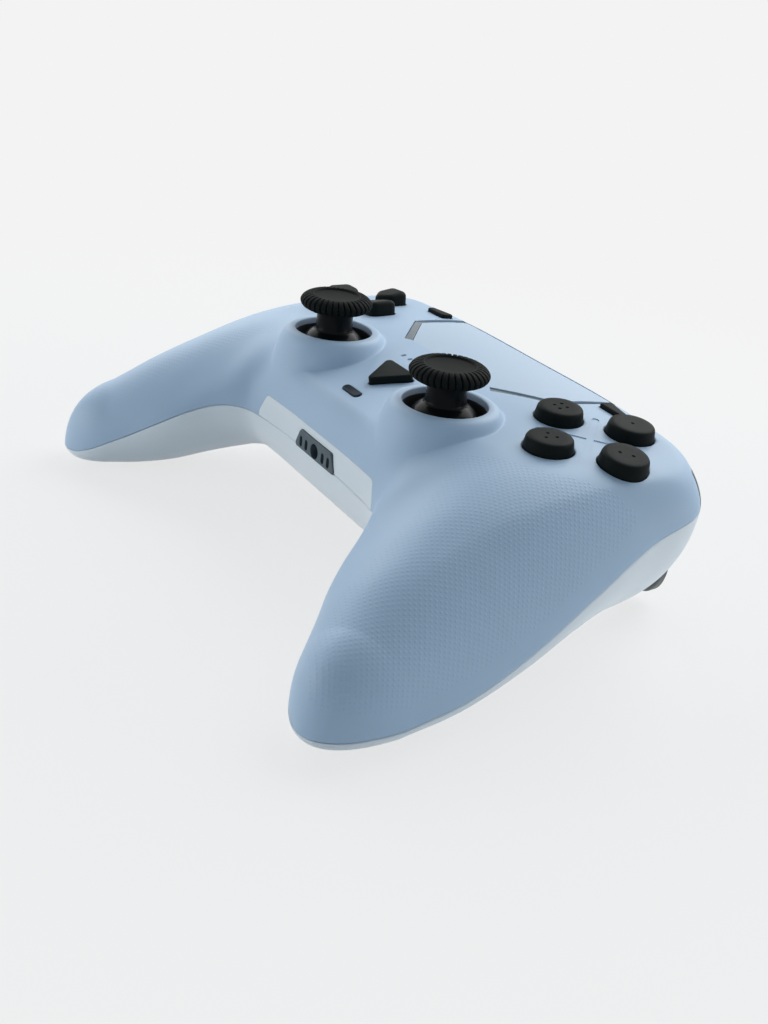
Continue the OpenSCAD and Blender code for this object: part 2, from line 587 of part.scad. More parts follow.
// How far the ends of the finger face fall back, and from where its tip rounds off to both sides
face_crown = 4.5;
round_z = -24;
round_y = back_y + 1.6;
function tip_share(q) = pow(max(1 - pow(abs(q), 1.6), .035), .625);
function trigger_section(q) = let (k = tip_share(q)) [for (p = trigger_face) let (rear = p[0] > trigger_y + 5) [
    q * trigger_w / 2,
    rear ? (p[1] < round_z ? lerp(round_y, p[0], k) : p[0]) - face_crown * q * q : p[0],
    rear && p[1] < round_z ? lerp(round_z, p[1], k) : p[1]
]];
module trigger(side) scale([side, 1, 1]) translate([trigger_x, 0, 0]) difference() {
    intersection() {
        skin([for (q = [-1.01, -.98, -.93, -.84, -.7, -.48, -.22, 0, .22, .48, .7, .84, .93, .98, 1.01])
            trigger_section(q)]);
        translate([-trigger_w / 2, 0, -100]) cube([trigger_w, 200, 200]);
    }
    translate([-trigger_w / 2 + cheek, 0, 0]) rotate([90, 0, 90]) linear_extrude(trigger_w - 2 * cheek)
        polygon(trigger_inner);
    translate([-30, trigger_y, trigger_z]) rotate([0, 90, 0]) cylinder(r = pin_hole, h = 60);
}
ear_t = 2.4;
ear_x = trigger_w / 2 - cheek - .25 - ear_t;
bracket_z = floor_z(trigger_x, 26) + wall + .35;
module trigger_bracket(side) scale([side, 1, 1]) translate([trigger_x, 0, 0]) difference() {
    union() {
        for (s = [0, 1]) translate([s == 0 ? -ear_x - ear_t : ear_x, 0, 0]) rotate([90, 0, 90]) linear_extrude(ear_t)
            polygon([
                [20, bracket_z], [30, bracket_z], [trigger_y + 2.6, trigger_z - 3], [trigger_y + 2.6, trigger_z + 1.6],
                [trigger_y + .8, trigger_z + 2.6], [trigger_y - 2.6, trigger_z + 2.6], [20, bracket_z + 5]
            ]);
        translate([-ear_x - .5, 20, bracket_z]) cube([2 * ear_x + 1, 9.5, 2]);
    }
    translate([-30, trigger_y, trigger_z]) rotate([0, 90, 0]) cylinder(r = pin_hole, h = 60);
}
module trigger_pin(side) scale([side, 1, 1]) translate([trigger_x - trigger_w / 2 + .2, trigger_y, trigger_z])
    rotate([0, 90, 0]) cylinder(d = trigger_pin_d, h = trigger_w - .4);

// Board, battery, socket, membranes, motors and screws
board_low = board_z - board_t;
post_at = [[40, -9], [30, 33.5]];
far_post = [64.9, 4];
screw_r = screw_d / 2;
board_w = 122;
lobe_w = 135;
board_back = trigger_y - 2.6;
tongue_w = 66.8;
module main_board() difference() {
    translate([0, 0, board_low]) linear_extrude(board_t) polygon(soft([
        [-board_w / 2, -11.5], [board_w / 2, -11.5], [board_w / 2, far_post[1] + 6], [lobe_w / 2, far_post[1] + 9],
        [lobe_w / 2, board_back - 6], [lobe_w / 2 - 6, board_back], [tongue_w / 2, board_back],
        [tongue_w / 2, back_y - 4], [-tongue_w / 2, back_y - 4], [-tongue_w / 2, board_back],
        [6 - lobe_w / 2, board_back], [-lobe_w / 2, board_back - 6], [-lobe_w / 2, far_post[1] + 9],
        [-board_w / 2, far_post[1] + 6]
    ], 1.5));
    for (s = [-1, 1], p = post_at) translate([s * p[0], p[1], board_low - 1]) cylinder(r = screw_r + .4, h = board_t + 2);
}
cell_y = 10;
cell_z = floor_z(0, cell_y) + wall + .4;
module battery() translate([0, cell_y, cell_z]) linear_extrude(cell_t)
    polygon(soft([[-cell_w / 2, -cell_l / 2], [cell_w / 2, -cell_l / 2], [cell_w / 2, cell_l / 2], [-cell_w / 2, cell_l / 2]], 2));
usb_w = 8.9;
usb_h = 3.2;
usb_z = board_z + usb_h / 2;
module usb_profile(g) {
    square([usb_w - usb_h, usb_h + 2 * g], center = true);
    for (s = [-1, 1]) translate([s * (usb_w - usb_h) / 2, 0]) circle(d = usb_h + 2 * g, $fn = 32);
}
module usb_socket() translate([0, back_y - .3, usb_z]) rotate([90, 0, 0]) {
    difference() {
        linear_extrude(8) usb_profile(0);
        translate([0, 0, -1]) linear_extrude(7.6) usb_profile(-.35);
    }
    translate([-3, -.35, .8]) cube([6, .7, 7]);
}
sheet_t = 1.2;
module membrane(spots) {
    for (p = spots) translate([p[0], p[1], board_z]) cylinder(r = 5.2, h = sheet_t);
    for (k = [0, 1]) let (a = spots[k], b = spots[k + 2], d = b - a)
        translate([a[0], a[1], board_z]) rotate([0, 0, atan2(d[1], d[0])]) translate([0, -2.5, 0]) cube([norm(d), 5, sheet_t]);
    for (p = spots) let (h = deck_z(p[0], p[1]) - key_depth - .15 - board_z) on_deck(p[0], p[1])
        translate([0, 0, -key_depth - .15 - h + .5]) cylinder(r1 = 4, r2 = 3.2, h = h - .5);
}
motor_x = 63;
motor_y = -9;
motor_z = -31 * kz;
motor_r = motor_d / 2;
shaft_m = 1;
module at_motor(side) translate([side * motor_x * kx, gy(motor_y), motor_z]) rotate([90, 0, 0]) children();
module motor(side) at_motor(side) {
    cylinder(r = motor_r, h = motor_l);
    cylinder(r = shaft_m, h = motor_l + 9.5);
}
module motor_weight(side) at_motor(side) translate([0, 0, motor_l + .6]) difference() {
    linear_extrude(8) union() {
        circle(r = shaft_m + 1.6);
        intersection() {
            circle(d = weight_d);
            translate([-weight_d, -weight_d * 2]) square([2 * weight_d, 2 * weight_d]);
        }
    }
    translate([0, 0, -1]) cylinder(r = shaft_m + run, h = 10);
}
head_r = 2.6;
head_up = 3.2;
near_head = floor_z(post_at[0][0], post_at[0][1]) + head_up;
far_head = floor_z(far_post[0], far_post[1]) + head_up;
near_tip = deck_z(post_at[0][0], post_at[0][1]) - wall - 1.4;
far_split = -21;
far_tip = deck_z(far_post[0], far_post[1]) - wall - 5;
module screw(p, head, tip) translate([p[0], p[1], head]) difference() {
    union() {
        translate([0, 0, -1.8]) cylinder(r = head_r, h = 1.8);
        translate([0, 0, -.2]) cylinder(r = screw_r, h = tip - head + .2);
    }
    for (a = [0, 90]) rotate([0, 0, a]) cube([2.6, .6, 5.2 - 2.4], center = true);
}
module case_screws() sides() {
    screw(post_at[0], near_head, near_tip);
    screw(far_post, far_head, far_tip);
}
module screw_well(p, head, tip) translate([p[0], p[1], 0]) {
    translate([0, 0, head - 30]) cylinder(r = head_r + .3, h = 30);
    translate([0, 0, head - 1]) cylinder(r = screw_r + .2, h = tip - head + 1.4);
}

// Highest floor and lowest deck under a round foot, so that bosses stay inside the skins
ring8 = [for (a = [0 : 45 : 315]) [cos(a), sin(a)]];
function floor_under(p, r) = max([for (d = ring8) floor_z(p[0] + r * d[0], p[1] + r * d[1])]);
function deck_over(p, r) = min([for (d = ring8) deck_z(p[0] + r * d[0], p[1] + r * d[1])]);
module boss(p, z0, r) translate([p[0], p[1], z0]) cylinder(r = r, h = deck_over(p, r) - .4 - z0, $fn = 24);
module foot(p, r, z1) let (z0 = floor_under(p, r) + .4) translate([p[0], p[1], z0]) cylinder(r = r, h = z1 - z0, $fn = 24);
// Rib across a grip that holds a motor
rib_w = 15;
module motor_rib(y) translate([0, y + 1, 0]) rotate([90, 0, 0]) linear_extrude(2) polygon(concat(
    [for (i = [0 : 8]) let (x = motor_x * kx + rib_w * (i / 8 - .5)) [x, floor_z(x, y) + wall * .6]],
    [[motor_x * kx + rib_w / 2, motor_z - 1], [motor_x * kx - rib_w / 2, motor_z - 1]]));

// Shells
module top_shell() difference() {
    union() {
        difference() {
            top_body();
            top_hollow();
        }
        sides() at_stick(1) collar();
        sides() {
            boss(post_at[0], board_z, 3);
            boss(far_post, far_split, 3.4);
        }
    }
    sides() at_stick(1) well();
    sides() screw_well(post_at[0], near_head, near_tip);
    sides() screw_well(far_post, far_head, far_tip);
    for (i = [0 : 3]) on_deck(face_at[i][0], face_at[i][1]) translate([0, 0, -9]) cylinder(r = face_r + button_gap, h = 16);
    for (i = [0 : 3]) at_key(i) key_block(button_gap, -9, 6, 1.4);
    on_deck(0, home_y) home_block(button_gap, -7, 6);
    on_deck(0, mute_y) capsule(mute_l + 2 * button_gap, mute_w + 2 * button_gap, -8, 6);
    for (s = [-1, 1]) at_wedge(s) wedge_block(button_gap, -6.5, 6);
    each_led() lens_block(.08, -6, 4);
    pad_cut();
    front_prism(0);
    sides() bumper_zone(bumper_gap);
    translate([0, back_y + 2, usb_z]) rotate([90, 0, 0]) linear_extrude(8) usb_profile(.3);
}
module bottom_shell() difference() {
    union() {
        difference() {
            bottom_body();
            bottom_hollow();
        }
        sides() {
            foot(post_at[0], 4.3, near_head + 4);
            foot(post_at[0], 3.2, board_low);
            foot(post_at[1], 2.6, board_low);
            foot(far_post, 4.3, far_head + 4);
            foot(far_post, 3.4, far_split);
            for (k = [.25, .75]) motor_rib(gy(motor_y) - motor_l * k);
        }
        for (s = [-1, 1]) translate([-cell_w / 2, cell_y + s * (cell_l / 2 + 1.1) - .8, cell_z - 1]) cube([cell_w, 1.6, 4]);
    }
    sides() screw_well(post_at[0], near_head, near_tip);
    sides() screw_well(far_post, far_head, far_tip);
    for (s = [-1, 1]) at_motor(s) translate([0, 0, -1]) cylinder(r = motor_r + .15, h = motor_l + 2, $fn = 48);
    sides() translate([trigger_x - trigger_w / 2 - .4, trigger_y - 6.5, -35.4]) cube([trigger_w + .8, 60, 40]);
    translate([0, back_y + 2, usb_z]) rotate([90, 0, 0]) linear_extrude(8) usb_profile(.3);
    plate_prism(seam_gap, front_y - 4, front_y + 6);
}

// Set the part on the floor, its plan box centred on the origin
low_z = min([for (l = bottom_loops) for (p = l) p[2]]);
near_y = min([for (l = bottom_loops) for (p = l) p[1]]);
module place() translate([0, -(near_y + trigger_tip_y) / 2, -low_z]) children();

shell_blue = [.66, .75, .86];
pale = [.9, .93, .97];
black = [.08, .09, .09];
grey = [.34, .38, .4];

place() {
    color(shell_blue) top_shell();
    color(pale) bottom_shell();
    color(pale) front_bezel();
    color(grey) audio_plate();
    color(black) audio_jack();
    color(shell_blue) touchpad();
    color(grey) light_bar(-1);  // light_bar_left
    color(grey) light_bar(1);  // light_bar_right
    color(grey) indicator_lights();
    color(grey) at_stick(-1) stick_base();  // left_stick_base
    color(grey) at_stick(1) stick_base();  // right_stick_base
    color(grey) at_stick(-1) stick_yoke();  // left_stick_yoke
    color(grey) at_stick(1) stick_yoke();  // right_stick_yoke
    color(grey) at_stick(-1) stick_pivot();  // left_stick_pivot
    color(grey) at_stick(1) stick_pivot();  // right_stick_pivot
    color(black) at_stick(-1) stick_stem();  // left_stick_stem
    color(black) at_stick(1) stick_stem();  // right_stick_stem
    color(black) at_stick(-1) stick_cap();  // left_stick_cap
    color(black) at_stick(1) stick_cap();  // right_stick_cap
    color(black) dpad_key(0);  // dpad_up
    color(black) dpad_key(1);  // dpad_right
    color(black) dpad_key(2);  // dpad_down
    color(black) dpad_key(3);  // dpad_left
    color(black) face_button(0);  // face_north
    color(black) face_button(1);  // face_east
    color(black) face_button(2);  // face_south
    color(black) face_button(3);  // face_west
    color(black) home_button();
    color(grey) mute_button();
    color(black) wedge_button(-1);  // share_button
    color(black) wedge_button(1);  // options_button
    color(grey) bumper(-1);  // left_bumper
    color(grey) bumper(1);  // right_bumper
    color(grey) trigger(-1);  // left_trigger
    color(grey) trigger(1);  // right_trigger
    color(grey) trigger_bracket(-1);  // left_trigger_bracket
    color(grey) trigger_bracket(1);  // right_trigger_bracket
    color(grey) trigger_pin(-1);  // left_trigger_pin
    color(grey) trigger_pin(1);  // right_trigger_pin
    color(grey) motor(-1);  // left_motor
    color(grey) motor(1);  // right_motor
    color(grey) motor_weight(-1);  // left_motor_weight
    color(grey) motor_weight(1);  // right_motor_weight
    color([.12, .3, .2]) main_board();
    color(grey) battery();
    color(grey) usb_socket();
    color(grey) membrane(dpad_at);  // dpad_membrane
    color(grey) membrane(face_at);  // face_membrane
    color(grey) case_screws();
}
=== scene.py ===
"""Dressed gamepad controller: smooth shells, collars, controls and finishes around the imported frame."""

import logging
import math
from collections.abc import Callable
from dataclasses import dataclass, field
from enum import Enum

import bpy
import numpy as np
from mathutils import Matrix, Vector


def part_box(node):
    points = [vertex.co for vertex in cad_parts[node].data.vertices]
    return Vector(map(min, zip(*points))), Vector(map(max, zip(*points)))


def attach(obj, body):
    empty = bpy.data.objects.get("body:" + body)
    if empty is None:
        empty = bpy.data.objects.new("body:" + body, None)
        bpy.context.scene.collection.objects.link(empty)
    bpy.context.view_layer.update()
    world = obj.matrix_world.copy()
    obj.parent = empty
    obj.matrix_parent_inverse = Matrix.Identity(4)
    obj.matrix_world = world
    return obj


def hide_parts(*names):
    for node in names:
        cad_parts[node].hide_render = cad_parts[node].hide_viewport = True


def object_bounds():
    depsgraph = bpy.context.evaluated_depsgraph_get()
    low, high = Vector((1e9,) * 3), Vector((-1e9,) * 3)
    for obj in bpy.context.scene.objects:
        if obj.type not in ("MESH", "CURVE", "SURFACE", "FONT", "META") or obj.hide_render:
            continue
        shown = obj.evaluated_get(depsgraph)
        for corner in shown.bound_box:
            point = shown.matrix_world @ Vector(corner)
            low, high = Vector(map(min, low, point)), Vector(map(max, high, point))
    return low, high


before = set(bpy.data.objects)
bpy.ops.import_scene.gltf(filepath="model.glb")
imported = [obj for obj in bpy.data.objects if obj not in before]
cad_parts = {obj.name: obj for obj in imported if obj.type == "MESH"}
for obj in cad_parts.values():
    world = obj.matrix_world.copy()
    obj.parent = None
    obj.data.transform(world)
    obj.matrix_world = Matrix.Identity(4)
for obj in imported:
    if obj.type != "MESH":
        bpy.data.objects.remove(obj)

MM = 0.001
CAD_BOX = [[float(c) for c in corner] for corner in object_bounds()]
log = logging.getLogger("gamepad")
Point = tuple[float, float]
Colour = tuple[float, float, float]


class Side(Enum):
    """Left or right half of the controller, as seen by the player."""

    LEFT = -1
    RIGHT = 1

    @property
    def word(self) -> str:
        """Name of the side in node and body names."""
        return self.name.lower()


class Cut(Enum):
    """Ways of combining two closed meshes."""

    REMOVE = "DIFFERENCE"
    ADD = "UNION"
    KEEP_COMMON = "INTERSECT"


# Modelling helpers


def clear_selection() -> None:
    """Leaves edit mode and deselects everything."""
    if bpy.context.object and bpy.context.object.mode != "OBJECT":
        bpy.ops.object.mode_set(mode="OBJECT")
    bpy.ops.object.select_all(action="DESELECT")


def focus(obj: bpy.types.Object) -> None:
    """Makes one object the only selected and active one."""
    clear_selection()
    obj.select_set(True)
    bpy.context.view_layer.objects.active = obj


def edit_all(obj: bpy.types.Object) -> None:
    """Opens an object in edit mode with its whole mesh selected."""
    focus(obj)
    bpy.ops.object.mode_set(mode="EDIT")
    bpy.ops.mesh.select_all(action="SELECT")


def leave_edit() -> None:
    """Goes back to object mode."""
    bpy.ops.object.mode_set(mode="OBJECT")


def tidy_mesh(obj: bpy.types.Object, gap: float = 2e-6) -> None:
    """Merges doubles and turns the faces outwards.

    Args:
        obj: Closed mesh.
        gap: Merging distance in metres.
    """
    edit_all(obj)
    bpy.ops.mesh.remove_doubles(threshold=gap)
    bpy.ops.mesh.normals_make_consistent(inside=False)
    leave_edit()
    mesh = obj.data
    mesh.calc_loop_triangles()
    spots = np.array([v.co for v in mesh.vertices])
    corners = spots[np.array([t.vertices for t in mesh.loop_triangles])]
    if float(np.einsum("ij,ij->", corners[:, 0], np.cross(corners[:, 1], corners[:, 2]))) < 0:
        edit_all(obj)
        bpy.ops.mesh.flip_normals()
        leave_edit()


def mesh_object(name: str, points: np.ndarray, faces: list, edges: list | None = None) -> bpy.types.Object:
    """Makes an object from points in millimetres.

    Args:
        name: Object name.
        points: Points in the controller's own layout or any local frame.
        faces: Face corner lists.
        edges: Edges of a wire profile.

    Returns:
        The linked object, in metres.
    """
    mesh = bpy.data.meshes.new(name)
    mesh.from_pydata([tuple(p) for p in np.asarray(points, float) * MM], edges or [], faces)
    mesh.update()
    obj = bpy.data.objects.new(name, mesh)
    bpy.context.scene.collection.objects.link(obj)
    return obj


def skin_faces(rows: int, around: int, closed: bool = False) -> list[list[int]]:
    """Faces of a skin over rings of points.

    Args:
        rows: How many rings there are.
        around: Points of each ring.
        closed: Joins the last ring to the first, instead of closing both ends.

    Returns:
        The corner numbers of each face.
    """
    index = np.arange(rows * around).reshape(rows, around)
    here = np.vstack([index, index[:1]]) if closed else index
    after = np.roll(here, -1, axis=1)
    quads = np.stack([here[:-1], here[1:], after[1:], after[:-1]], axis=-1).reshape(-1, 4).tolist()
    return quads if closed else quads + [index[0].tolist(), index[-1].tolist()[::-1]]


def skinned(name: str, rings: np.ndarray, closed: bool = False) -> bpy.types.Object:
    """Makes an object from rings of points in millimetres.

    Args:
        name: Object name.
        rings: Points by ring and place in the ring.
        closed: Joins the last ring to the first, instead of closing both ends.

    Returns:
        The linked object, in metres.
    """
    return mesh_object(name, rings.reshape(-1, 3), skin_faces(*rings.shape[:2], closed))


def at(x: float = 0.0, y: float = 0.0, z: float = 0.0) -> Matrix:
    """Shift by a distance in millimetres."""
    return Matrix.Translation((x * MM, y * MM, z * MM))


def finish_with(obj: bpy.types.Object, kind: str, **settings) -> None:
    """Adds a modifier and applies it.

    Args:
        obj: Object to change.
        kind: Modifier type.
        settings: Modifier values.
    """
    modifier = obj.modifiers.new(kind.lower(), kind)
    for key, value in settings.items():
        setattr(modifier, key, value)
    focus(obj)
    bpy.ops.object.modifier_apply(modifier=modifier.name)


def combine(obj: bpy.types.Object, other: bpy.types.Object, how: Cut) -> None:
    """Cuts, joins or intersects an object with another closed mesh.

    Args:
        obj: Object to change.
        other: The tool, removed afterwards.
        how: The way of combining.
    """
    finish_with(obj, "BOOLEAN", operation=how.value, object=other, solver="MANIFOLD")
    bpy.data.objects.remove(other)


def cut_all(obj: bpy.types.Object, tools: list[bpy.types.Object]) -> None:
    """Cuts several closed meshes out of an object at once."""
    combine(obj, merge(tools, "tools"), Cut.REMOVE)


def soften(obj: bpy.types.Object, degrees: float = 38.0) -> None:
    """Shades smooth, with edges sharper than an angle left sharp."""
    focus(obj)
    bpy.ops.object.shade_smooth_by_angle(angle=math.radians(degrees))


def merge(objects: list[bpy.types.Object], name: str) -> bpy.types.Object:
    """Joins objects into the first one.

    Args:
        objects: Objects with meshes.
        name: Name of the result.

    Returns:
        The joined object.
    """
    focus(objects[0])
    for obj in objects[1:]:
        obj.select_set(True)
    if len(objects) > 1:
        bpy.ops.object.join()
    objects[0].name = name
    return objects[0]


def copy_of(obj: bpy.types.Object, name: str) -> bpy.types.Object:
    """Copies an object together with its mesh."""
    twin = bpy.data.objects.new(name, obj.data.copy())
    bpy.context.scene.collection.objects.link(twin)
    return twin


def turned(name: str, profile: list[Point], steps: int = 96) -> bpy.types.Object:
    """Turns a half profile about the upright axis.

    Args:
        name: Object name.
        profile: Radius and height pairs in millimetres, from the axis round to the axis.
        steps: Steps of the full turn.

    Returns:
        A closed turned object at the origin.
    """
    points = np.array([(r, 0.0, z) for r, z in profile])
    wire = [(i, i + 1) for i in range(len(profile) - 1)]
    obj = mesh_object(name, points, [], wire)
    edit_all(obj)
    bpy.ops.mesh.spin(steps=steps, angle=2 * math.pi, center=(0, 0, 0), axis=(0, 0, 1))
    leave_edit()
    tidy_mesh(obj)
    return obj


def prism(name: str, outline: list[Point], low: float, high: float) -> bpy.types.Object:
    """Extrudes a flat outline upwards.

    Args:
        name: Object name.
        outline: Corner points in millimetres, counter-clockwise.
        low: Height of the underside.
        high: Height of the top.

    Returns:
        A closed prism at the origin.
    """
    points = np.array([(x, y, low) for x, y in outline])
    obj = mesh_object(name, points, [list(range(len(outline)))])
    edit_all(obj)
    bpy.ops.mesh.extrude_region_move(TRANSFORM_OT_translate={"value": (0, 0, (high - low) * MM)})
    bpy.ops.mesh.select_all(action="SELECT")
    bpy.ops.mesh.normals_make_consistent(inside=False)
    leave_edit()
    return obj


def upright(outline: list[Point], low: float, high: float, seat: Matrix) -> bpy.types.Object:
    """Prism that stands on a seat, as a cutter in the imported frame."""
    obj = prism("upright", outline, low, high)
    obj.data.transform(seat)
    return obj


def round_edges(obj: bpy.types.Object, width: float, segments: int = 4, degrees: float = 42.0) -> None:
    """Rounds every edge sharper than an angle.

    Args:
        obj: Object to change.
        width: Rounding width in millimetres.
        segments: Steps of the rounding.
        degrees: Least angle between faces.
    """
    finish_with(obj, "BEVEL", width=width * MM, segments=segments, limit_method="ANGLE",
                angle_limit=math.radians(degrees), use_clamp_overlap=True)


def spline(a: np.ndarray, b: np.ndarray, c: np.ndarray, d: np.ndarray, f: float | np.ndarray) -> np.ndarray:
    """Place between the middle two of four points on a smooth curve.

    Args:
        a: Point before the span.
        b: Start of the span.
        c: End of the span.
        d: Point after the span.
        f: Share of the way along the span.

    Returns:
        The point on the curve.
    """
    return 0.5 * (2 * b + (c - a) * f + (2 * a - 5 * b + 4 * c - d) * f * f + (3 * b - a - 3 * c + d) * f ** 3)


def smooth_line(points: list[Point], per: int, closed: bool = False) -> list[Point]:
    """Runs a smooth curve through points.

    Args:
        points: Points to pass through.
        per: Steps between two points.
        closed: Whether the line comes back to its start.

    Returns:
        The finer line.
    """
    p = np.array(points, float)
    count = len(p)
    out: list[Point] = []
    for i in range(count if closed else count - 1):
        if closed:
            a, b, c, d = (p[(i + k) % count] for k in (-1, 0, 1, 2))
        else:
            a, b, c, d = p[max(i - 1, 0)], p[i], p[i + 1], p[min(i + 2, count - 1)]
        for k in range(per):
            f = k / per
            out.append(tuple(spline(a, b, c, d, f)))
    if not closed:
        out.append(tuple(p[-1]))
    return out


def soft_outline(corners: list[Point], radius: float, steps: int = 6) -> list[Point]:
    """Rounds the corners of an outline.

    Args:
        corners: Corner points in order.
        radius: Corner radius.
        steps: Steps of each corner.

    Returns:
        The outline with rounded corners.
    """
    out: list[Point] = []
    count = len(corners)
    for i in range(count):
        p = np.array(corners[i], float)
        u = np.array(corners[i - 1], float) - p
        v = np.array(corners[(i + 1) % count], float) - p
        u, v = u / np.linalg.norm(u), v / np.linalg.norm(v)
        half = math.acos(max(-1.0, min(1.0, float(u @ v)))) / 2
        mid = (u + v) / np.linalg.norm(u + v)
        centre = p + mid * radius / math.sin(half)
        start = p + u * radius / math.tan(half) - centre
        end = p + v * radius / math.tan(half) - centre
        a0 = math.atan2(start[1], start[0])
        turn = math.atan2(end[1], end[0]) - a0
        turn = turn - 2 * math.pi if turn > math.pi else turn + 2 * math.pi if turn < -math.pi else turn
        for k in range(steps + 1):
            a = a0 + turn * k / steps
            out.append((centre[0] + radius * math.cos(a), centre[1] + radius * math.sin(a)))
    return out


def capsule_outline(length: float, width: float, steps: int = 10) -> list[Point]:
    """Outline of a flat-sided slot with round ends.

    Args:
        length: Overall length along X.
        width: Width along Y.
        steps: Steps of each end.

    Returns:
        The outline, counter-clockwise.
    """
    r, reach = width / 2, (length - width) / 2
    right = [(reach + r * math.sin(a), -r * math.cos(a)) for a in np.linspace(0, math.pi, steps)]
    return right + [(-x, -y) for x, y in right]


# Finishes


def grain_group() -> bpy.types.NodeTree:
    """Makes or finds the moulded grain: a mottled colour, a broken roughness and a fine height.

    Returns:
        The shared node group.
    """
    found = bpy.data.node_groups.get("moulded_grain")
    if found:
        return found
    group = bpy.data.node_groups.new("moulded_grain", "ShaderNodeTree")
    face, number, paint = group.interface, "NodeSocketFloat", "NodeSocketColor"
    for label, kind, value in (("Colour", paint, (0.5, 0.5, 0.5, 1)), ("Mottle", number, 0.05),
                               ("Roughness", number, 0.4), ("Spread", number, 0.1),
                               ("Grain", number, 4000.0), ("Patch", number, 60.0)):
        face.new_socket(label, in_out="INPUT", socket_type=kind).default_value = value
    for label, kind in (("Colour", paint), ("Roughness", number), ("Height", number)):
        face.new_socket(label, in_out="OUTPUT", socket_type=kind)
    node, link = group.nodes.new, group.links.new
    entry, leave, place = node("NodeGroupInput"), node("NodeGroupOutput"), node("ShaderNodeTexCoord")
    patch, grain = node("ShaderNodeTexNoise"), node("ShaderNodeTexNoise")
    for tex, scale, detail in ((patch, "Patch", 3.0), (grain, "Grain", 1.0)):
        tex.inputs["Detail"].default_value = detail
        link(place.outputs["Object"], tex.inputs["Vector"])
        link(entry.outputs[scale], tex.inputs["Scale"])

    def sums(operation: str, *values: bpy.types.NodeSocket | float) -> bpy.types.NodeSocket:
        """Adds a Math node fed by sockets and plain numbers.

        Args:
            operation: What the node does.
            values: Its inputs in order.

        Returns:
            The node's result.
        """
        step = node("ShaderNodeMath")
        step.operation = operation
        for socket, value in zip(step.inputs, values):
            if isinstance(value, float):
                socket.default_value = value
            else:
                link(value, socket)
        return step.outputs[0]

    shade = node("ShaderNodeHueSaturation")
    uneven = sums("SUBTRACT", patch.outputs["Fac"], 0.5)
    link(sums("MULTIPLY_ADD", uneven, entry.outputs["Mottle"], 1.0), shade.inputs["Value"])
    link(entry.outputs["Colour"], shade.inputs["Color"])
    link(shade.outputs["Color"], leave.inputs["Colour"])
    broken = sums("SUBTRACT", sums("ADD", patch.outputs["Fac"], grain.outputs["Fac"]), 1.0)
    link(sums("MULTIPLY_ADD", broken, entry.outputs["Spread"], entry.outputs["Roughness"]), leave.inputs["Roughness"])
    link(grain.outputs["Fac"], leave.inputs["Height"])
    return group


@dataclass(frozen=True)
class Finish:
    """A moulded, sprayed or plated surface."""

    name: str
    colour: Colour
    roughness: float
    slot: str
    mottle: float = 0.05
    spread: float = 0.1
    grain: float = 4200.0
    patch: float = 55.0
    depth: float = 0.02
    metallic: float = 0.0
    specular: float = 0.5

    def material(self) -> bpy.types.Material:
        """Makes or finds the finish's material.

        Returns:
            A node material with grain in its colour, roughness and bump.
        """
        found = bpy.data.materials.get(self.name)
        if found:
            return found
        mat = bpy.data.materials.new(self.name)
        mat.use_nodes = True
        tree = mat.node_tree
        shader = tree.nodes["Principled BSDF"]
        shader.inputs["Metallic"].default_value = self.metallic
        shader.inputs["Specular IOR Level"].default_value = self.specular
        grain = tree.nodes.new("ShaderNodeGroup")
        grain.node_tree = grain_group()
        for label, value in (("Colour", (*self.colour, 1)), ("Mottle", self.mottle), ("Roughness", self.roughness),
                             ("Spread", self.spread), ("Grain", self.grain), ("Patch", self.patch)):
            grain.inputs[label].default_value = value
        bump = tree.nodes.new("ShaderNodeBump")
        bump.inputs["Strength"].default_value = 0.6
        bump.inputs["Distance"].default_value = self.depth * MM
        tree.links.new(grain.outputs["Colour"], shader.inputs["Base Color"])
        tree.links.new(grain.outputs["Roughness"], shader.inputs["Roughness"])
        tree.links.new(grain.outputs["Height"], bump.inputs["Height"])
        tree.links.new(bump.outputs["Normal"], shader.inputs["Normal"])
        mat.diffuse_color = (*self.colour, 1)
        return mat

    def put_on(self, obj: bpy.types.Object) -> None:
        """Gives the finish to an object's every face."""
        obj.data.materials.clear()
        obj.data.materials.append(self.material())


SHELL_BLUE = Finish("shell_blue_satin", (0.48, 0.63, 0.80), 0.45, "shell_blue", depth=0.012, specular=0.3)
SHELL_PALE = Finish("shell_pale_satin", (0.87, 0.93, 0.97), 0.42, "shell_pale", mottle=0.04, depth=0.012, specular=0.35)
PAD_BLUE = Finish("pad_blue_fine", (0.53, 0.66, 0.80), 0.45, "pad_blue", mottle=0.04, grain=9000.0, specular=0.3)
CAP_RUBBER = Finish("cap_rubber_matte", (0.007, 0.009, 0.009), 0.6, "cap_rubber", mottle=0.5, grain=5200.0,
                    depth=0.03, specular=0.05)
BUTTON_BLACK = Finish("button_black_satin", (0.007, 0.010, 0.010), 0.5, "button_black", mottle=0.35, depth=0.01,
                      specular=0.05)
DOME_GLOSS = Finish("dome_black_gloss", (0.008, 0.009, 0.010), 0.22, "button_black", mottle=0.2, spread=0.06,
                    depth=0.004, specular=0.06)
MUTE_SMOKE = Finish("mute_smoke_gloss", (0.018, 0.028, 0.042), 0.3, "dark_grey", mottle=0.2, depth=0.006, specular=0.1)
DARK_GREY = Finish("plate_dark_grey", (0.085, 0.12, 0.14), 0.45, "dark_grey", mottle=0.12, depth=0.012, specular=0.3)
SHOULDER = Finish("shoulder_grey_black", (0.07, 0.085, 0.09), 0.4, "shoulder_grey", mottle=0.2, depth=0.012,
                  specular=0.3)
LENS = Finish("strip_lens_smoke", (0.17, 0.21, 0.23), 0.3, "light_lens", mottle=0.15, depth=0.004, specular=0.4)
LED_SMOKE = Finish("led_lens_smoke", (0.05, 0.12, 0.28), 0.3, "light_lens", mottle=0.1, depth=0.004, specular=0.3)
STEEL = Finish("steel_plain", (0.55, 0.56, 0.58), 0.3, "steel", metallic=1.0, mottle=0.1, patch=140.0, depth=0.006)
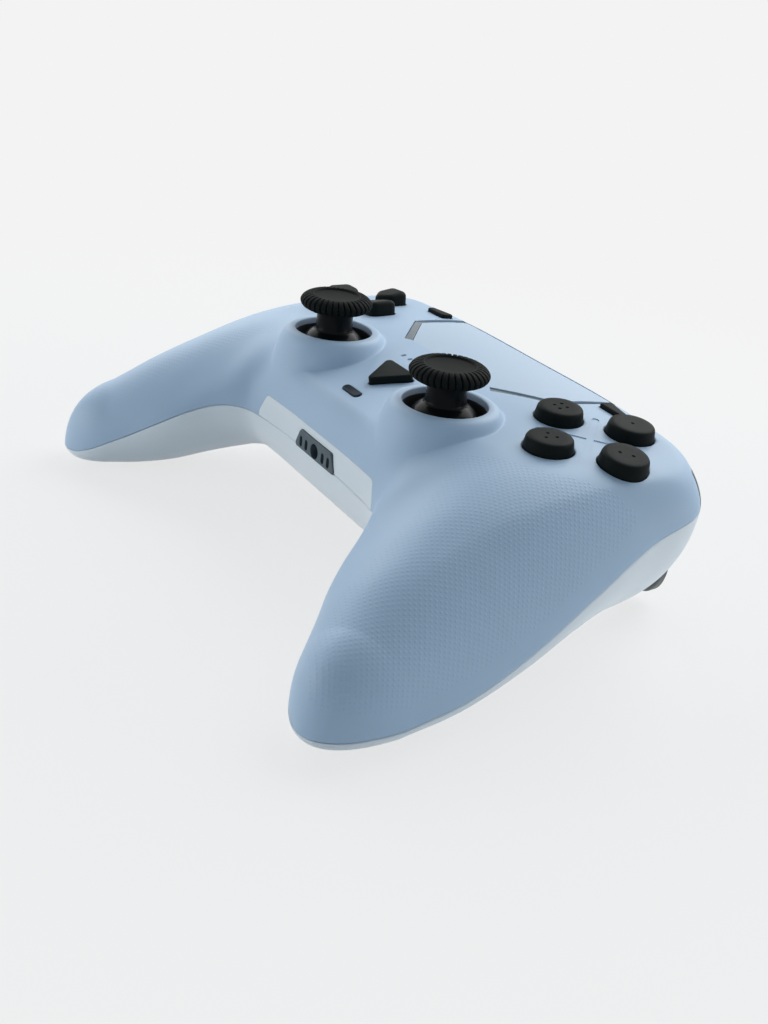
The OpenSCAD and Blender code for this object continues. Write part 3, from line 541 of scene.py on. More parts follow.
BOARD = Finish("board_green", (0.02, 0.12, 0.06), 0.4, "board", mottle=0.3, patch=220.0, depth=0.01)
CELL = Finish("cell_wrap_grey", (0.16, 0.17, 0.19), 0.45, "cell", mottle=0.15, depth=0.01)
MODULE = Finish("module_grey_plastic", (0.02, 0.022, 0.025), 0.55, "module_grey", mottle=0.2, depth=0.01, specular=0.2)
MEMBRANE = Finish("membrane_rubber_grey", (0.25, 0.26, 0.27), 0.7, "membrane_rubber", mottle=0.15, depth=0.02)


def dress(obj: bpy.types.Object, finish: Finish, body: str, *nodes: str) -> bpy.types.Object:
    """Gives a piece its finish and its body, and hides the CAD nodes that it stands for.

    Args:
        obj: Finished piece.
        finish: Its surface.
        body: The body that carries it.
        nodes: CAD nodes that it replaces.

    Returns:
        The same piece.
    """
    finish.put_on(obj)
    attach(obj, body)
    if nodes:
        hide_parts(*nodes)
    log.info("%s on %s, %d faces", obj.name, body, len(obj.data.polygons))
    return obj


# The body's loft


@dataclass
class BodyLoft:
    """The housing's outer form: sections from the middle out to the grip ends.

    Each row is the front seam point, the back seam point, the deck heights above them, the deck's crown, the
    shares of the deck's two rounded edges, the floor heights and the shares of the floor's rounded edges.
    """

    shift: Vector
    rows: np.ndarray = field(default_factory=lambda: np.array([
        [0, -17.5, -23.6, 0, 49.6, -14, -9.6, -3, 4.7, .09, .045, -37.5, -37.5, .16, .16],
        [14, -17.5, -23.6, 24, 49.6, -14, -9.6, -3, 4.7, .09, .045, -37.5, -37.5, .16, .16],
        [26, -18, -23.9, 47, 48.8, -14, -7, -3.1, 3.1, .105, .06, -37.5, -37.5, .18, .18],
        [33.2, -19.8, -23.4, 62.4, 47.3, -14, -4.2, -3.4, .9, .3, .09, -38, -37.5, .23, .23],
        [37.5, -23.7, -23.4, 71.9, 40.7, -14, -7.7, -6, 3.5, .38, .14, -40, -38, .29, .29],
        [41.4, -28.3, -24.8, 74.8, 26, -17.6, -14.7, -9.2, 7, .4, .23, -43, -40, .37, .37],
        [45.2, -34.2, -28, 77.4, 10, -26, -19.6, -12.9, 7.5, .43, .34, -46, -43, .44, .44],
        [49.4, -39.7, -32.1, 79.6, -6, -34.9, -20.9, -17.6, 5.3, .48, .43, -48.6, -47, .48, .48],
        [54.3, -44.8, -36.5, 81.4, -22.5, -41.5, -22.5, -22.5, 2.7, .5, .5, -49.8, -49.4, .5, .5],
        [59.3, -50.4, -40.8, 82.3, -38, -44.3, -27.3, -27.1, .4, .5, .5, -50, -50, .5, .5]], float))
    bend: np.ndarray = field(default_factory=lambda: np.array(
        [65.4, -57.4, -46.7, 82.2, -55, -45.4, -31.5, -31.5, 0, .5, .5, -50, -50, .5, .5], float))
    end: np.ndarray = field(default_factory=lambda: np.array(
        [73.4, -57, -45.9, 73.4, -57, -45.9, -45.9, -45.9, 0, .5, .5, -45.9, -45.9, .5, .5], float))

    def __post_init__(self) -> None:
        """Adds the mirrored row before the first and the run-out row after the last."""
        self.last = len(self.rows) - 1
        mirrored = self.rows[1].copy()
        mirrored[[0, 3]] *= -1
        self.control = np.vstack([mirrored, self.rows, 2 * self.rows[-1] - self.rows[-2]])

    def rows_at(self, ts: np.ndarray) -> np.ndarray:
        """Section values at places along the body.

        Args:
            ts: Station numbers, up to one past the last for the grip's round end.

        Returns:
            Fifteen values for each station.
        """
        ts = np.atleast_1d(np.asarray(ts, float))
        k = np.clip(ts.astype(int), 0, self.last - 1)
        f = (ts - k)[:, None]
        a, b, c, d = (self.control[k + i] for i in range(4))
        body = spline(a, b, c, d, f)
        q = np.clip(ts - self.last, 0, 1)[:, None]
        tip = (1 - q) ** 2 * self.rows[-1] + 2 * q * (1 - q) * self.bend + q * q * self.end
        return np.where(ts[:, None] > self.last, tip, body)

    def row(self, t: float) -> np.ndarray:
        """Section values at one place along the body."""
        return self.rows_at(np.array([t]))[0]

    @staticmethod
    def edge(share: np.ndarray) -> np.ndarray:
        """Quarter-round edge, 0 at the seam and 1 where the deck begins."""
        c = np.clip(share, 0, 1)
        return np.sqrt(1 - (1 - c) ** 2)

    def section(self, t: float, s: np.ndarray, top: bool, inset: float = 0.0) -> np.ndarray:
        """Points across the body.

        Args:
            t: Station number.
            s: Shares of the way from the front seam to the back seam.
            top: The deck, or else the floor.
            inset: Distance inside the skin.

        Returns:
            The points in the layout frame, in millimetres.
        """
        r = self.row(t)
        if inset:
            r = r.copy()
            step = (r[3:5] - r[0:2]) / np.linalg.norm(r[3:5] - r[0:2]) * inset
            r[0:2] += step
            r[3:5] -= step
            r[6:8] -= inset
            r[11:13] += inset
        return self.across(r[None], np.asarray(s, float), top)

    def across(self, r: np.ndarray, s: np.ndarray, top: bool) -> np.ndarray:
        """Points at shares of the way across sections.

        Args:
            r: Section values, one row for all the shares or one for each.
            s: Shares of the way from the front seam to the back seam.
            top: The deck, or else the floor.

        Returns:
            The points in the layout frame, in millimetres.
        """
        seam = r[:, 2] + (r[:, 5] - r[:, 2]) * s
        if top:
            rise = np.maximum(0, r[:, 6] + (r[:, 7] - r[:, 6]) * s + 4 * r[:, 8] * s * (1 - s) - seam)
            z = seam + rise * self.edge(s / r[:, 9]) * self.edge((1 - s) / r[:, 10])
        else:
            fall = np.maximum(0, seam - (r[:, 11] + (r[:, 12] - r[:, 11]) * s))
            z = seam - fall * self.edge(s / r[:, 13]) * self.edge((1 - s) / r[:, 14])
        return np.stack([r[:, 0] + (r[:, 3] - r[:, 0]) * s, r[:, 1] + (r[:, 4] - r[:, 1]) * s, z], axis=-1)

    def find(self, x: np.ndarray, y: np.ndarray) -> tuple[np.ndarray, np.ndarray]:
        """Stations and shares of points of the plan.

        Args:
            x: Distances from the middle.
            y: Distances from the line of the sticks.

        Returns:
            The station numbers and the shares across.
        """
        x, y = np.atleast_1d(np.abs(x)).astype(float), np.atleast_1d(y).astype(float)
        low, high = np.zeros_like(x), np.full_like(x, self.last + 0.99)
        for _ in range(30):
            mid = (low + high) / 2
            r = self.rows_at(mid)
            beyond = (r[:, 3] - r[:, 0]) * (y - r[:, 1]) - (r[:, 4] - r[:, 1]) * (x - r[:, 0]) < 0
            low, high = np.where(beyond, mid, low), np.where(beyond, high, mid)
        r = self.rows_at(low)
        dx, dy = r[:, 3] - r[:, 0], r[:, 4] - r[:, 1]
        return low, ((x - r[:, 0]) * dx + (y - r[:, 1]) * dy) / np.maximum(dx * dx + dy * dy, 1e-9)

    def decks(self, x: np.ndarray, y: np.ndarray) -> np.ndarray:
        """Heights of the deck at points of the plan."""
        t, s = self.find(x, y)
        return self.across(self.rows_at(t), np.clip(s, 0, 1), True)[:, 2]

    def deck(self, x: float, y: float) -> float:
        """Height of the deck at a point of the plan."""
        return float(self.decks(np.array([x]), np.array([y]))[0])

    def normal(self, x: float, y: float, d: float = 1.5) -> Vector:
        """Upward direction of the deck at a point of the plan."""
        return Vector(((self.deck(x - d, y) - self.deck(x + d, y)) / (2 * d),
                       (self.deck(x, y - d) - self.deck(x, y + d)) / (2 * d), 1)).normalized()

    def seat(self, x: float, y: float, turn: float = 0.0) -> Matrix:
        """Place of a control that stands square on the deck.

        Args:
            x: Plan position.
            y: Plan position.
            turn: Turn about its own axis, in degrees.

        Returns:
            The transform in metres, in the frame.
        """
        up = self.normal(x, y)
        lean = Vector((0, 0, 1)).rotation_difference(up).to_matrix().to_4x4()
        spot = (Vector((x, y, self.deck(x, y))) + self.shift) * MM
        return Matrix.Translation(spot) @ lean @ Matrix.Rotation(math.radians(turn), 4, "Z")

    def layout(self) -> Matrix:
        """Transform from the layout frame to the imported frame."""
        return Matrix.Translation(self.shift * MM)


@dataclass
class Housing:
    """Top and bottom shells, front panel and sound plate."""

    loft: BodyLoft
    per: int = 14
    tip_steps: int = 40
    across: int = 104
    tip: float = 0.975
    curl: float = 3.0
    wall: float = 1.8
    groove: float = 0.22
    groove_lip: float = 0.28
    half_gap: float = 0.06
    overlap: float = 0.3
    front_y: float = -17.5
    back_y: float = 49.6
    stick_x: float = 27.0
    well_r: float = 10.05
    skirt_blend: float = 1.5
    relief_reach: float = 12.7
    relief_half: float = 0.85
    relief_deep: float = 0.2
    bezel_w: float = 58.0
    bezel_h: float = 6.4
    plate_w: float = 21.0
    plate_h: float = 4.9
    seam_gap: float = 0.15
    usb_l: float = 9.5
    usb_w: float = 3.8
    usb_z: float = -13.9
    jack_z: float = -21.75
    jack_r: float = 1.95
    slot_l: float = 2.8
    slot_w: float = 1.42
    slot_x: float = 4.3
    slot_pitch: float = 2.8
    trigger_x: float = 49.3
    trigger_w: float = 23.6
    trigger_y: float = 39.0
    bumper_l: float = 7.1
    bumper_top: float = -6.4
    bumper_gap: float = 0.45
    head_r: float = 2.6
    posts: tuple[Point, ...] = ((40.0, -9.0), (64.9, 4.0))

    def stations(self) -> list[float]:
        """Station numbers from the middle to the grip's end."""
        ts = [i / self.per for i in range(self.per * self.loft.last + 1)]
        return ts + [self.loft.last + math.sin(math.pi / 2 * i / self.tip_steps) for i in range(1, self.tip_steps + 1)]

    def lofted(self, name: str, top: bool, inset: float) -> bpy.types.Object:
        """Lofts one half of the body as a closed solid.

        Args:
            name: Object name.
            top: The deck side, or else the floor side.
            inset: Wall thickness for the hollow, or 0 for the outside with its seam groove.

        Returns:
            The solid in the layout frame.
        """
        loft, away = self.loft, 1.0 if top else -1.0
        shares = (1 - np.cos(np.pi * np.arange(401) / 400)) / 2
        stations = [t for t in self.stations() if t <= (loft.last if inset else loft.last + self.tip)]
        columns = []
        for t in stations:
            line = loft.section(t + (0.013 if inset else 0.0), shares, top, inset)
            steps = np.diff(line, axis=0)
            length = np.linalg.norm(steps, axis=1)
            turn = np.zeros(len(length))
            unit = steps / np.maximum(length[:, None], 1e-9)
            turn[1:] = np.arccos(np.clip((unit[1:] * unit[:-1]).sum(axis=1), -1, 1))
            arc = np.concatenate([[0], np.cumsum(length + self.curl * turn)])
            even = np.linspace(0, arc[-1], self.across + 1)
            line = np.stack([np.interp(even, arc, line[:, c]) for c in range(3)], axis=-1)
            chord = (line[-1] - line[0]) * np.array([1, 1, 0])
            span = max(float(np.linalg.norm(chord)), 1e-6)
            small = min(1.0, span / 8)
            ends = line[[0, -1]]
            if inset:
                ends[:, 2] -= away * self.overlap
            else:
                ends += np.array([[1], [-1]]) * chord / span * self.groove * small
                ends[:, 2] += away * self.half_gap * small
                line[[0, -1], 2] += away * self.groove_lip * small
            columns.append(np.vstack([ends[0], line, ends[1]]))
        half = np.array(columns)
        half[:, :, 1] = np.maximum(half[:, :, 1], CAD_BOX[0][1] / MM - loft.shift.y + 0.002)
        obj = skinned(name, np.concatenate([(half[1:] * np.array([-1, 1, 1]))[::-1], half]))
        edit_all(obj)
        bpy.ops.mesh.quads_convert_to_tris()
        leave_edit()
        tidy_mesh(obj, 1e-8)
        return obj

    def half_shell(self, name: str, top: bool) -> bpy.types.Object:
        """Builds one hollow shell with a shallow groove along its seam.

        Args:
            name: Object name.
            top: The deck side, or else the floor side.

        Returns:
            The shell without its openings, in the layout frame.
        """
        obj = self.lofted(name, top, 0.0)
        combine(obj, self.lofted("hollow", top, self.wall), Cut.REMOVE)
        return obj

    def in_place(self, obj: bpy.types.Object) -> bpy.types.Object:
        """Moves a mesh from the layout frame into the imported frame."""
        obj.data.transform(self.loft.layout())
        return obj

    def block(self, low: tuple, high: tuple) -> bpy.types.Object:
        """Box between two corners of the layout frame, as a cutter.

        Args:
            low: Lowest corner in millimetres.
            high: Highest corner in millimetres.

        Returns:
            The closed box.
        """
        bpy.ops.object.select_all(action="DESELECT")
        bpy.ops.mesh.primitive_cube_add(size=1)
        box = bpy.context.object
        size = [(b - a) * MM for a, b in zip(low, high)]
        mid = [(a + b) / 2 * MM for a, b in zip(low, high)]
        box.data.transform(Matrix.Translation(mid) @ Matrix.Diagonal((*size, 1)))
        return box

    def front_prism(self, grow: float) -> bpy.types.Object:
        """Cutter of the front panel's outline, run through the front wall.

        Args:
            grow: Distance outside the outline.

        Returns:
            A closed prism in the layout frame.
        """
        low = self.loft.rows[0][2] + 0.05
        top, w = low + self.bezel_h, self.bezel_w / 2
        side = [(w + 0.8 + grow, low - 3), (w + 0.8 + grow, low + 1.6), (w - 1.4 + grow, top + grow)]
        outline = side + [(-x, z) for x, z in side[::-1]]
        return self.standing(soft_outline(outline, 1.3, 6), self.front_y - 7.5, self.front_y + 4.5)

    def plate_prism(self, grow: float, near: float, far: float) -> bpy.types.Object:
        """Prism of the sound plate's outline.

        Args:
            grow: Distance outside the outline.
            near: Front of the prism along Y.
            far: Back of the prism along Y.

        Returns:
            A closed prism in the layout frame.
        """
        low, w = self.loft.rows[0][2] - 0.35, self.plate_w / 2
        outline = [(-w - grow, low - grow), (w + grow, low - grow), (w - 2.4 + grow, low + self.plate_h + grow),
                   (-w + 2.4 - grow, low + self.plate_h + grow)]
        return self.standing(soft_outline(outline, 0.9, 6), near, far)

    def standing(self, outline: list[Point], near: float, far: float) -> bpy.types.Object:
        """Prism of an outline that faces the player, between two distances."""
        obj = prism("standing", outline, 0, far - near)
        obj.data.transform(at(y=far) @ Matrix.Rotation(math.pi / 2, 4, "X"))
        return obj

    def bumper_zone(self, side: Side, grow: float) -> bpy.types.Object:
        """Space that a shoulder button takes out of the top shell.

        Args:
            side: The half of the controller.
            grow: Gap round the button.

        Returns:
            A closed box in the layout frame.
        """
        inner = self.trigger_x - self.trigger_w / 2 - 0.4 - grow
        low, high = self.back_y - self.bumper_l - grow, self.bumper_top + grow
        if side is Side.RIGHT:
            return self.block((inner, low, -16), (inner + 60, low + 40, high))
        return self.block((-inner - 60, low, -16), (-inner, low + 40, high))

    def usb_cutter(self) -> bpy.types.Object:
        """Opening for the charging socket in the back wall."""
        outline = [(x, z + self.usb_z) for x, z in capsule_outline(self.usb_l, self.usb_w)]
        return self.standing(outline, self.back_y - 6, self.back_y + 3)

    def collar(self) -> bpy.types.Object:
        """Raised rim round the right stick, blended into the deck.

        Returns:
            A closed ring in the layout frame.
        """
        loft, well, blend, mid_x = self.loft, self.well_r, self.skirt_blend, self.stick_x
        skirt = [(1.1, 0), (1.9, -.2), (2.7, -.8), (3.5, -2.2), (4.3, -4.6), (5.2, -8.4), (6.2, -14.2)]
        fine = np.array(smooth_line(skirt, 8))
        lip = [(.25, -3.4), (0, -2.9), (0, -.42), (.07, -.2), (.22, -.06), (.55, 0)]
        rows = []
        for a in np.linspace(0, 2 * math.pi, 120, endpoint=False):
            ca, sa = math.cos(a), math.sin(a)

            def ground(r: float) -> float:
                """Height of the deck at a distance from the stick."""
                return loft.deck(mid_x + r * ca, r * sa)

            def gap(r: float) -> float:
                """Height of the plain skirt above the deck."""
                return float(np.interp(r - well, fine[:, 0], fine[:, 1])) - ground(r)

            reach, high = well + skirt[0][0], well + skirt[-1][0]
            for _ in range(22):
                mid = (reach + high) / 2
                reach, high = (mid, high) if gap(mid) > -blend else (reach, mid)
            radii = [*np.linspace(well + 1.1, well + 2.7, 8), *np.linspace(well + 2.7, reach, 22)[1:-1]]
            ring = [(well + r, z) for r, z in lip]
            for r in radii:
                g = gap(r)
                ring.append((r, ground(r) + max(g, 0.0) + max(blend - abs(g), 0.0) ** 2 / (4 * blend)))
            foot = well + 1.4
            ring += [(reach, ground(reach) - 0.02), (reach - 0.2, ground(reach) - 0.9),
                     (foot, min(-3.4, ground(foot) - 0.9))]
            rows.append([(mid_x + r * ca, r * sa, z) for r, z in ring])
        obj = skinned("collar", np.array(rows), closed=True)
        tidy_mesh(obj)
        return obj

    def stick_bore(self, side: Side) -> bpy.types.Object:
        """Round hole under a collar.

        Args:
            side: The half of the controller.

        Returns:
            A closed cutter in the layout frame.
        """
        r = self.well_r + 1.3
        obj = turned("bore", [(0, -20), (r, -20), (r, 8), (0, 8)], 120)
        obj.data.transform(at(self.stick_x * side.value))
        return obj

    def shade_sleeve(self, side: Side) -> bpy.types.Object:
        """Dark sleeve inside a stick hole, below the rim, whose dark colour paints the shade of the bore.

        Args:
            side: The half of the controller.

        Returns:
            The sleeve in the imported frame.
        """
        # Painted shade: this sleeve's dark colour stands in for the shade inside the stick hole.
        r = self.well_r
        line = [(r - .12, -1.7), (r + .1, -1.55), (r + .1, -3.3), (r + .9, -3.5), (r + .9, -6.2), (r - .12, -6.2)]
        obj = turned(f"well_liner_{side.word}", line + line[:1], 96)
        obj.data.transform(at(self.stick_x * side.value))
        soften(obj, 40)
        return self.in_place(obj)

    def relief(self, x: float, y: float, turn: float) -> bpy.types.Object:
        """Cutter of a shallow channel that follows the deck.

        Args:
            x: Middle of the channel.
            y: Middle of the channel.
            turn: Its direction in degrees.

        Returns:
            A closed strip in the layout frame.
        """
        reach, half = self.relief_reach, self.relief_half
        us = np.concatenate([reach - half * (1 - np.sin(np.linspace(math.pi / 2, 0, 8))),
                             np.linspace(reach - half, 0, 32)[1:]])
        us = np.concatenate([us, -us[::-1][1:]])
        ends = np.clip((np.abs(us) - (reach - half)) / half, 0, 1)
        vs = np.linspace(-1, 1, 7)[None, :] * (half * np.sqrt(1 - ends ** 2) + 0.02)[:, None]
        a = math.radians(turn)
        px = x + us[:, None] * math.cos(a) - vs * math.sin(a)
        py = y + us[:, None] * math.sin(a) + vs * math.cos(a)
        z = self.loft.decks(px.ravel(), py.ravel()).reshape(px.shape)
        n, m = px.shape
        pts = np.concatenate([np.stack([px, py, z + rise], -1).reshape(-1, 3) for rise in (-self.relief_deep, 1)])
        k = np.arange(n * m).reshape(n, m)
        quads = np.stack([k[:-1, :-1], k[1:, :-1], k[1:, 1:], k[:-1, 1:]], -1).reshape(-1, 4)
        faces = quads.tolist() + (quads[:, ::-1] + n * m).tolist()
        loop = k[0].tolist() + k[1:, -1].tolist() + k[-1, ::-1][1:].tolist() + k[::-1, 0][1:-1].tolist()
        faces += [[p, q, q + n * m, p + n * m] for p, q in zip(loop, loop[1:] + loop[:1])]
        obj = mesh_object("relief", pts, faces)
        tidy_mesh(obj)
        return obj

    def build_top(self, controls: "Controls", pad: "TouchPad") -> list[bpy.types.Object]:
        """Builds the top shell, its front panel and the shoulder buttons cut from the same skin.

        Args:
            controls: Gives the button openings.
            pad: Gives the pad opening.

        Returns:
            The pieces: shell, front panel, left and right shoulder button.
        """
        shell = self.half_shell("top_shell_skin", True)
        panel = copy_of(shell, "front_panel_skin")
        combine(panel, self.front_prism(-0.06), Cut.KEEP_COMMON)
        combine(panel, self.plate_prism(self.seam_gap, self.front_y - 4, self.front_y + 6), Cut.REMOVE)
        shoulders = []
        for side in Side:
            bumper = copy_of(shell, f"{side.word}_bumper_skin")
            combine(bumper, self.bumper_zone(side, 0), Cut.KEEP_COMMON)
            floor_z = self.loft.rows[3][5] + 0.15
            combine(bumper, self.block((-100, 0, floor_z), (100, 100, 0)), Cut.KEEP_COMMON)
            shoulders.append(bumper)
        cutters = [self.stick_bore(side) for side in Side] + [self.bumper_zone(side, self.bumper_gap) for side in Side]
        cut_all(shell, cutters + [self.front_prism(0), self.usb_cutter(), pad.cutter()])
        right = self.collar()
        left = copy_of(right, "collar_left")
        left.data.transform(Matrix.Diagonal((-1, 1, 1, 1)))
        tidy_mesh(left)
        combine(shell, merge([right, left], "collars"), Cut.ADD)
        for turn in (45, 135):
            combine(shell, self.relief(controls.group_x, controls.group_y, turn), Cut.REMOVE)
        self.in_place(shell)
        cut_all(shell, controls.cutters())
        for obj in (panel, *shoulders):
            self.in_place(obj)
        return [shell, panel, *shoulders]

    def build_bottom(self) -> bpy.types.Object:
        """Builds the bottom shell with its screw wells and trigger openings.

        Returns:
            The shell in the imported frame.
        """
        shell = self.half_shell("bottom_shell_skin", False)
        cutters = [self.usb_cutter(), self.plate_prism(self.seam_gap, self.front_y - 4, self.front_y + 6)]
        half, r = self.trigger_w / 2 + .4, self.head_r + .3
        for side in Side:
            mid = self.trigger_x * side.value
            cutters.append(self.block((mid - half, self.trigger_y - 6.5, -35.4), (mid + half, self.trigger_y + 53, 5)))
            for x, y in self.posts:
                well = turned("well", [(0, -60), (r, -60), (r, -35), (0, -35)], 48)
                well.data.transform(at(side.value * x, y))
                cutters.append(well)
        cut_all(shell, cutters)
        return self.in_place(shell)

    def build_plate(self) -> bpy.types.Object:
        """Builds the sound plate with its socket hole and four upright slots.

        Returns:
            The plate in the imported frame.
        """
        plate = self.plate_prism(0, self.front_y - 0.3, self.front_y + 2.2)
        plate.name = "sound_plate"
        round_edges(plate, 0.25, 3)
        hole = turned("hole", [(0, -6), (self.jack_r, -6), (self.jack_r, 6), (0, 6)], 48)
        hole.data.transform(at(0, self.front_y, self.jack_z) @ Matrix.Rotation(math.pi / 2, 4, "X"))
        cutters = [hole]
        for x in (self.slot_x, self.slot_x + self.slot_pitch):
            for side in Side:
                slot = [(side.value * x - z, self.jack_z - 0.1 + u)
                        for u, z in capsule_outline(self.slot_l, self.slot_w, 8)]
                cutters.append(self.standing(slot, self.front_y - 4, self.front_y + 6))
        cut_all(plate, cutters)
        return self.in_place(plate)

    def build(self, controls: "Controls", pad: "TouchPad") -> None:
        """Builds, shades and dresses the housing.

        Args:
            controls: Gives the button openings.
            pad: Gives the pad opening.
        """
        shell, panel, left, right = self.build_top(controls, pad)
        bottom = self.build_bottom()
        plate = self.build_plate()
        for obj in (shell, panel, left, right, bottom, plate):
            soften(obj)
        dress(shell, SHELL_BLUE, "housing", "top_shell")
        dress(bottom, SHELL_PALE, "housing", "bottom_shell")
        dress(panel, SHELL_PALE, "housing", "front_bezel")
        dress(plate, DARK_GREY, "housing", "audio_plate")
        dress(left, SHOULDER, "left_bumper", "left_bumper")
        dress(right, SHOULDER, "right_bumper", "right_bumper")
        # Painted shade: dark sleeves inside the stick holes stand in for the shade of the bores.
        for side in Side:
            dress(self.shade_sleeve(side), MODULE, "housing")


@dataclass
class GripTexture:
    """Field of small raised dots on the top of a grip."""

    loft: BodyLoft
    pitch: float = 1.06
    dot_d: float = 0.84
    dot_h: float = 0.04
    ridge: tuple[float, float, float] = (66.0, -20.0, 53.0)
    cross: float = -23.0
    reach: float = 9.72
    inner: tuple[tuple[float, ...], ...] = ((3.6, 5.2, 7.0, 8.2, 9.4, 9.72), (.22, .25, .24, .15, .17, .40))
    outer: tuple[tuple[float, ...], ...] = ((3.6, 4.1, 4.65, 4.9, 5.05, 5.3, 6.6, 9.0, 9.4, 9.72),
                                            (.22, .37, .535, .70, .93, .955, .975, .98, .955, .80))

    def spots(self) -> tuple[np.ndarray, np.ndarray]:
        """Lays the dots out in square rows that follow the right grip's surface.

        Returns:
            The dot centres and their upward directions, in the layout frame.
        """
        run, over = math.radians(self.ridge[2]), math.radians(self.cross)
        base = np.arange(-46, 50) * self.pitch / math.sin(run - over)
        stride = 0.4
        walk = np.arange(-26, 42.01, stride)
        x = self.ridge[0] + base[:, None] * math.cos(run) + walk * math.cos(over)
        y = self.ridge[1] + base[:, None] * math.sin(run) + walk * math.sin(over)
        z = self.loft.decks(x.ravel(), y.ravel()).reshape(x.shape)
        length = np.cumsum(np.hypot(stride, np.diff(z, axis=1, prepend=z[:, :1])), axis=1) - stride
        length -= length[:, [int(np.argmin(np.abs(walk)))]]
        steps = np.arange(-40, 70) * self.pitch
        kept = [steps[(steps > row[0]) & (steps < row[-1])] for row in length]
        x = np.concatenate([np.interp(k, row, line) for k, row, line in zip(kept, length, x)])
        y = np.concatenate([np.interp(k, row, line) for k, row, line in zip(kept, length, y)])
        t, s = self.loft.find(x, y)
        inside = (s > np.interp(t, *self.inner)) & (s < np.interp(t, *self.outer))
        inside &= (t > self.inner[0][0]) & (t < self.reach)
        t, s = t[inside], s[inside]
        here = self.loft.across(self.loft.rows_at(t), s, True)
        along = self.loft.across(self.loft.rows_at(t + 0.02), s, True) - here
        across = self.loft.across(self.loft.rows_at(t), s - 0.004, True) - here
        up = np.cross(along, across)
        up /= np.linalg.norm(up, axis=1, keepdims=True)
        return here, np.where(up[:, 2:] > 0, up, -up)

    def build(self) -> None:
        """Models one dot, copies it over both grips and dresses the fields."""
        centres, ups = self.spots()
        r, h, n = self.dot_d / 2, self.dot_h, 8
        turns = np.arange(n) * 2 * math.pi / n
        rings = ((1.02 * r, -0.1), (r, -0.02), (.62 * r, .72 * h))
        dot = np.array([(k * math.cos(a), k * math.sin(a), z) for k, z in rings for a in turns] + [(0, 0, h)])
        faces = skin_faces(3, n)[:-1] + [[2 * n + i, 3 * n, 2 * n + (i + 1) % n] for i in range(n)]
        size = len(dot)
        helper = np.where(np.abs(ups[:, :1]) < 0.8, np.array([[1.0, 0, 0]]), np.array([[0, 1.0, 0]]))
        across = np.cross(ups, helper)
        across /= np.linalg.norm(across, axis=1, keepdims=True)
        along = np.cross(ups, across)
        points = centres[:, None] + np.einsum("pk,nkc->npc", dot, np.stack([across, along, ups], axis=1))
        every = [[c + size * i for c in f] for i in range(len(centres)) for f in faces]
        for side in Side:
            pts = points.reshape(-1, 3) * np.array([side.value, 1, 1])
            obj = mesh_object(f"grip_dots_{side.word}", pts, every)
            obj.data.transform(self.loft.layout())
            edit_all(obj)
            bpy.ops.mesh.normals_make_consistent(inside=False)
            leave_edit()
            soften(obj, 60)
            dress(obj, SHELL_BLUE, "housing")


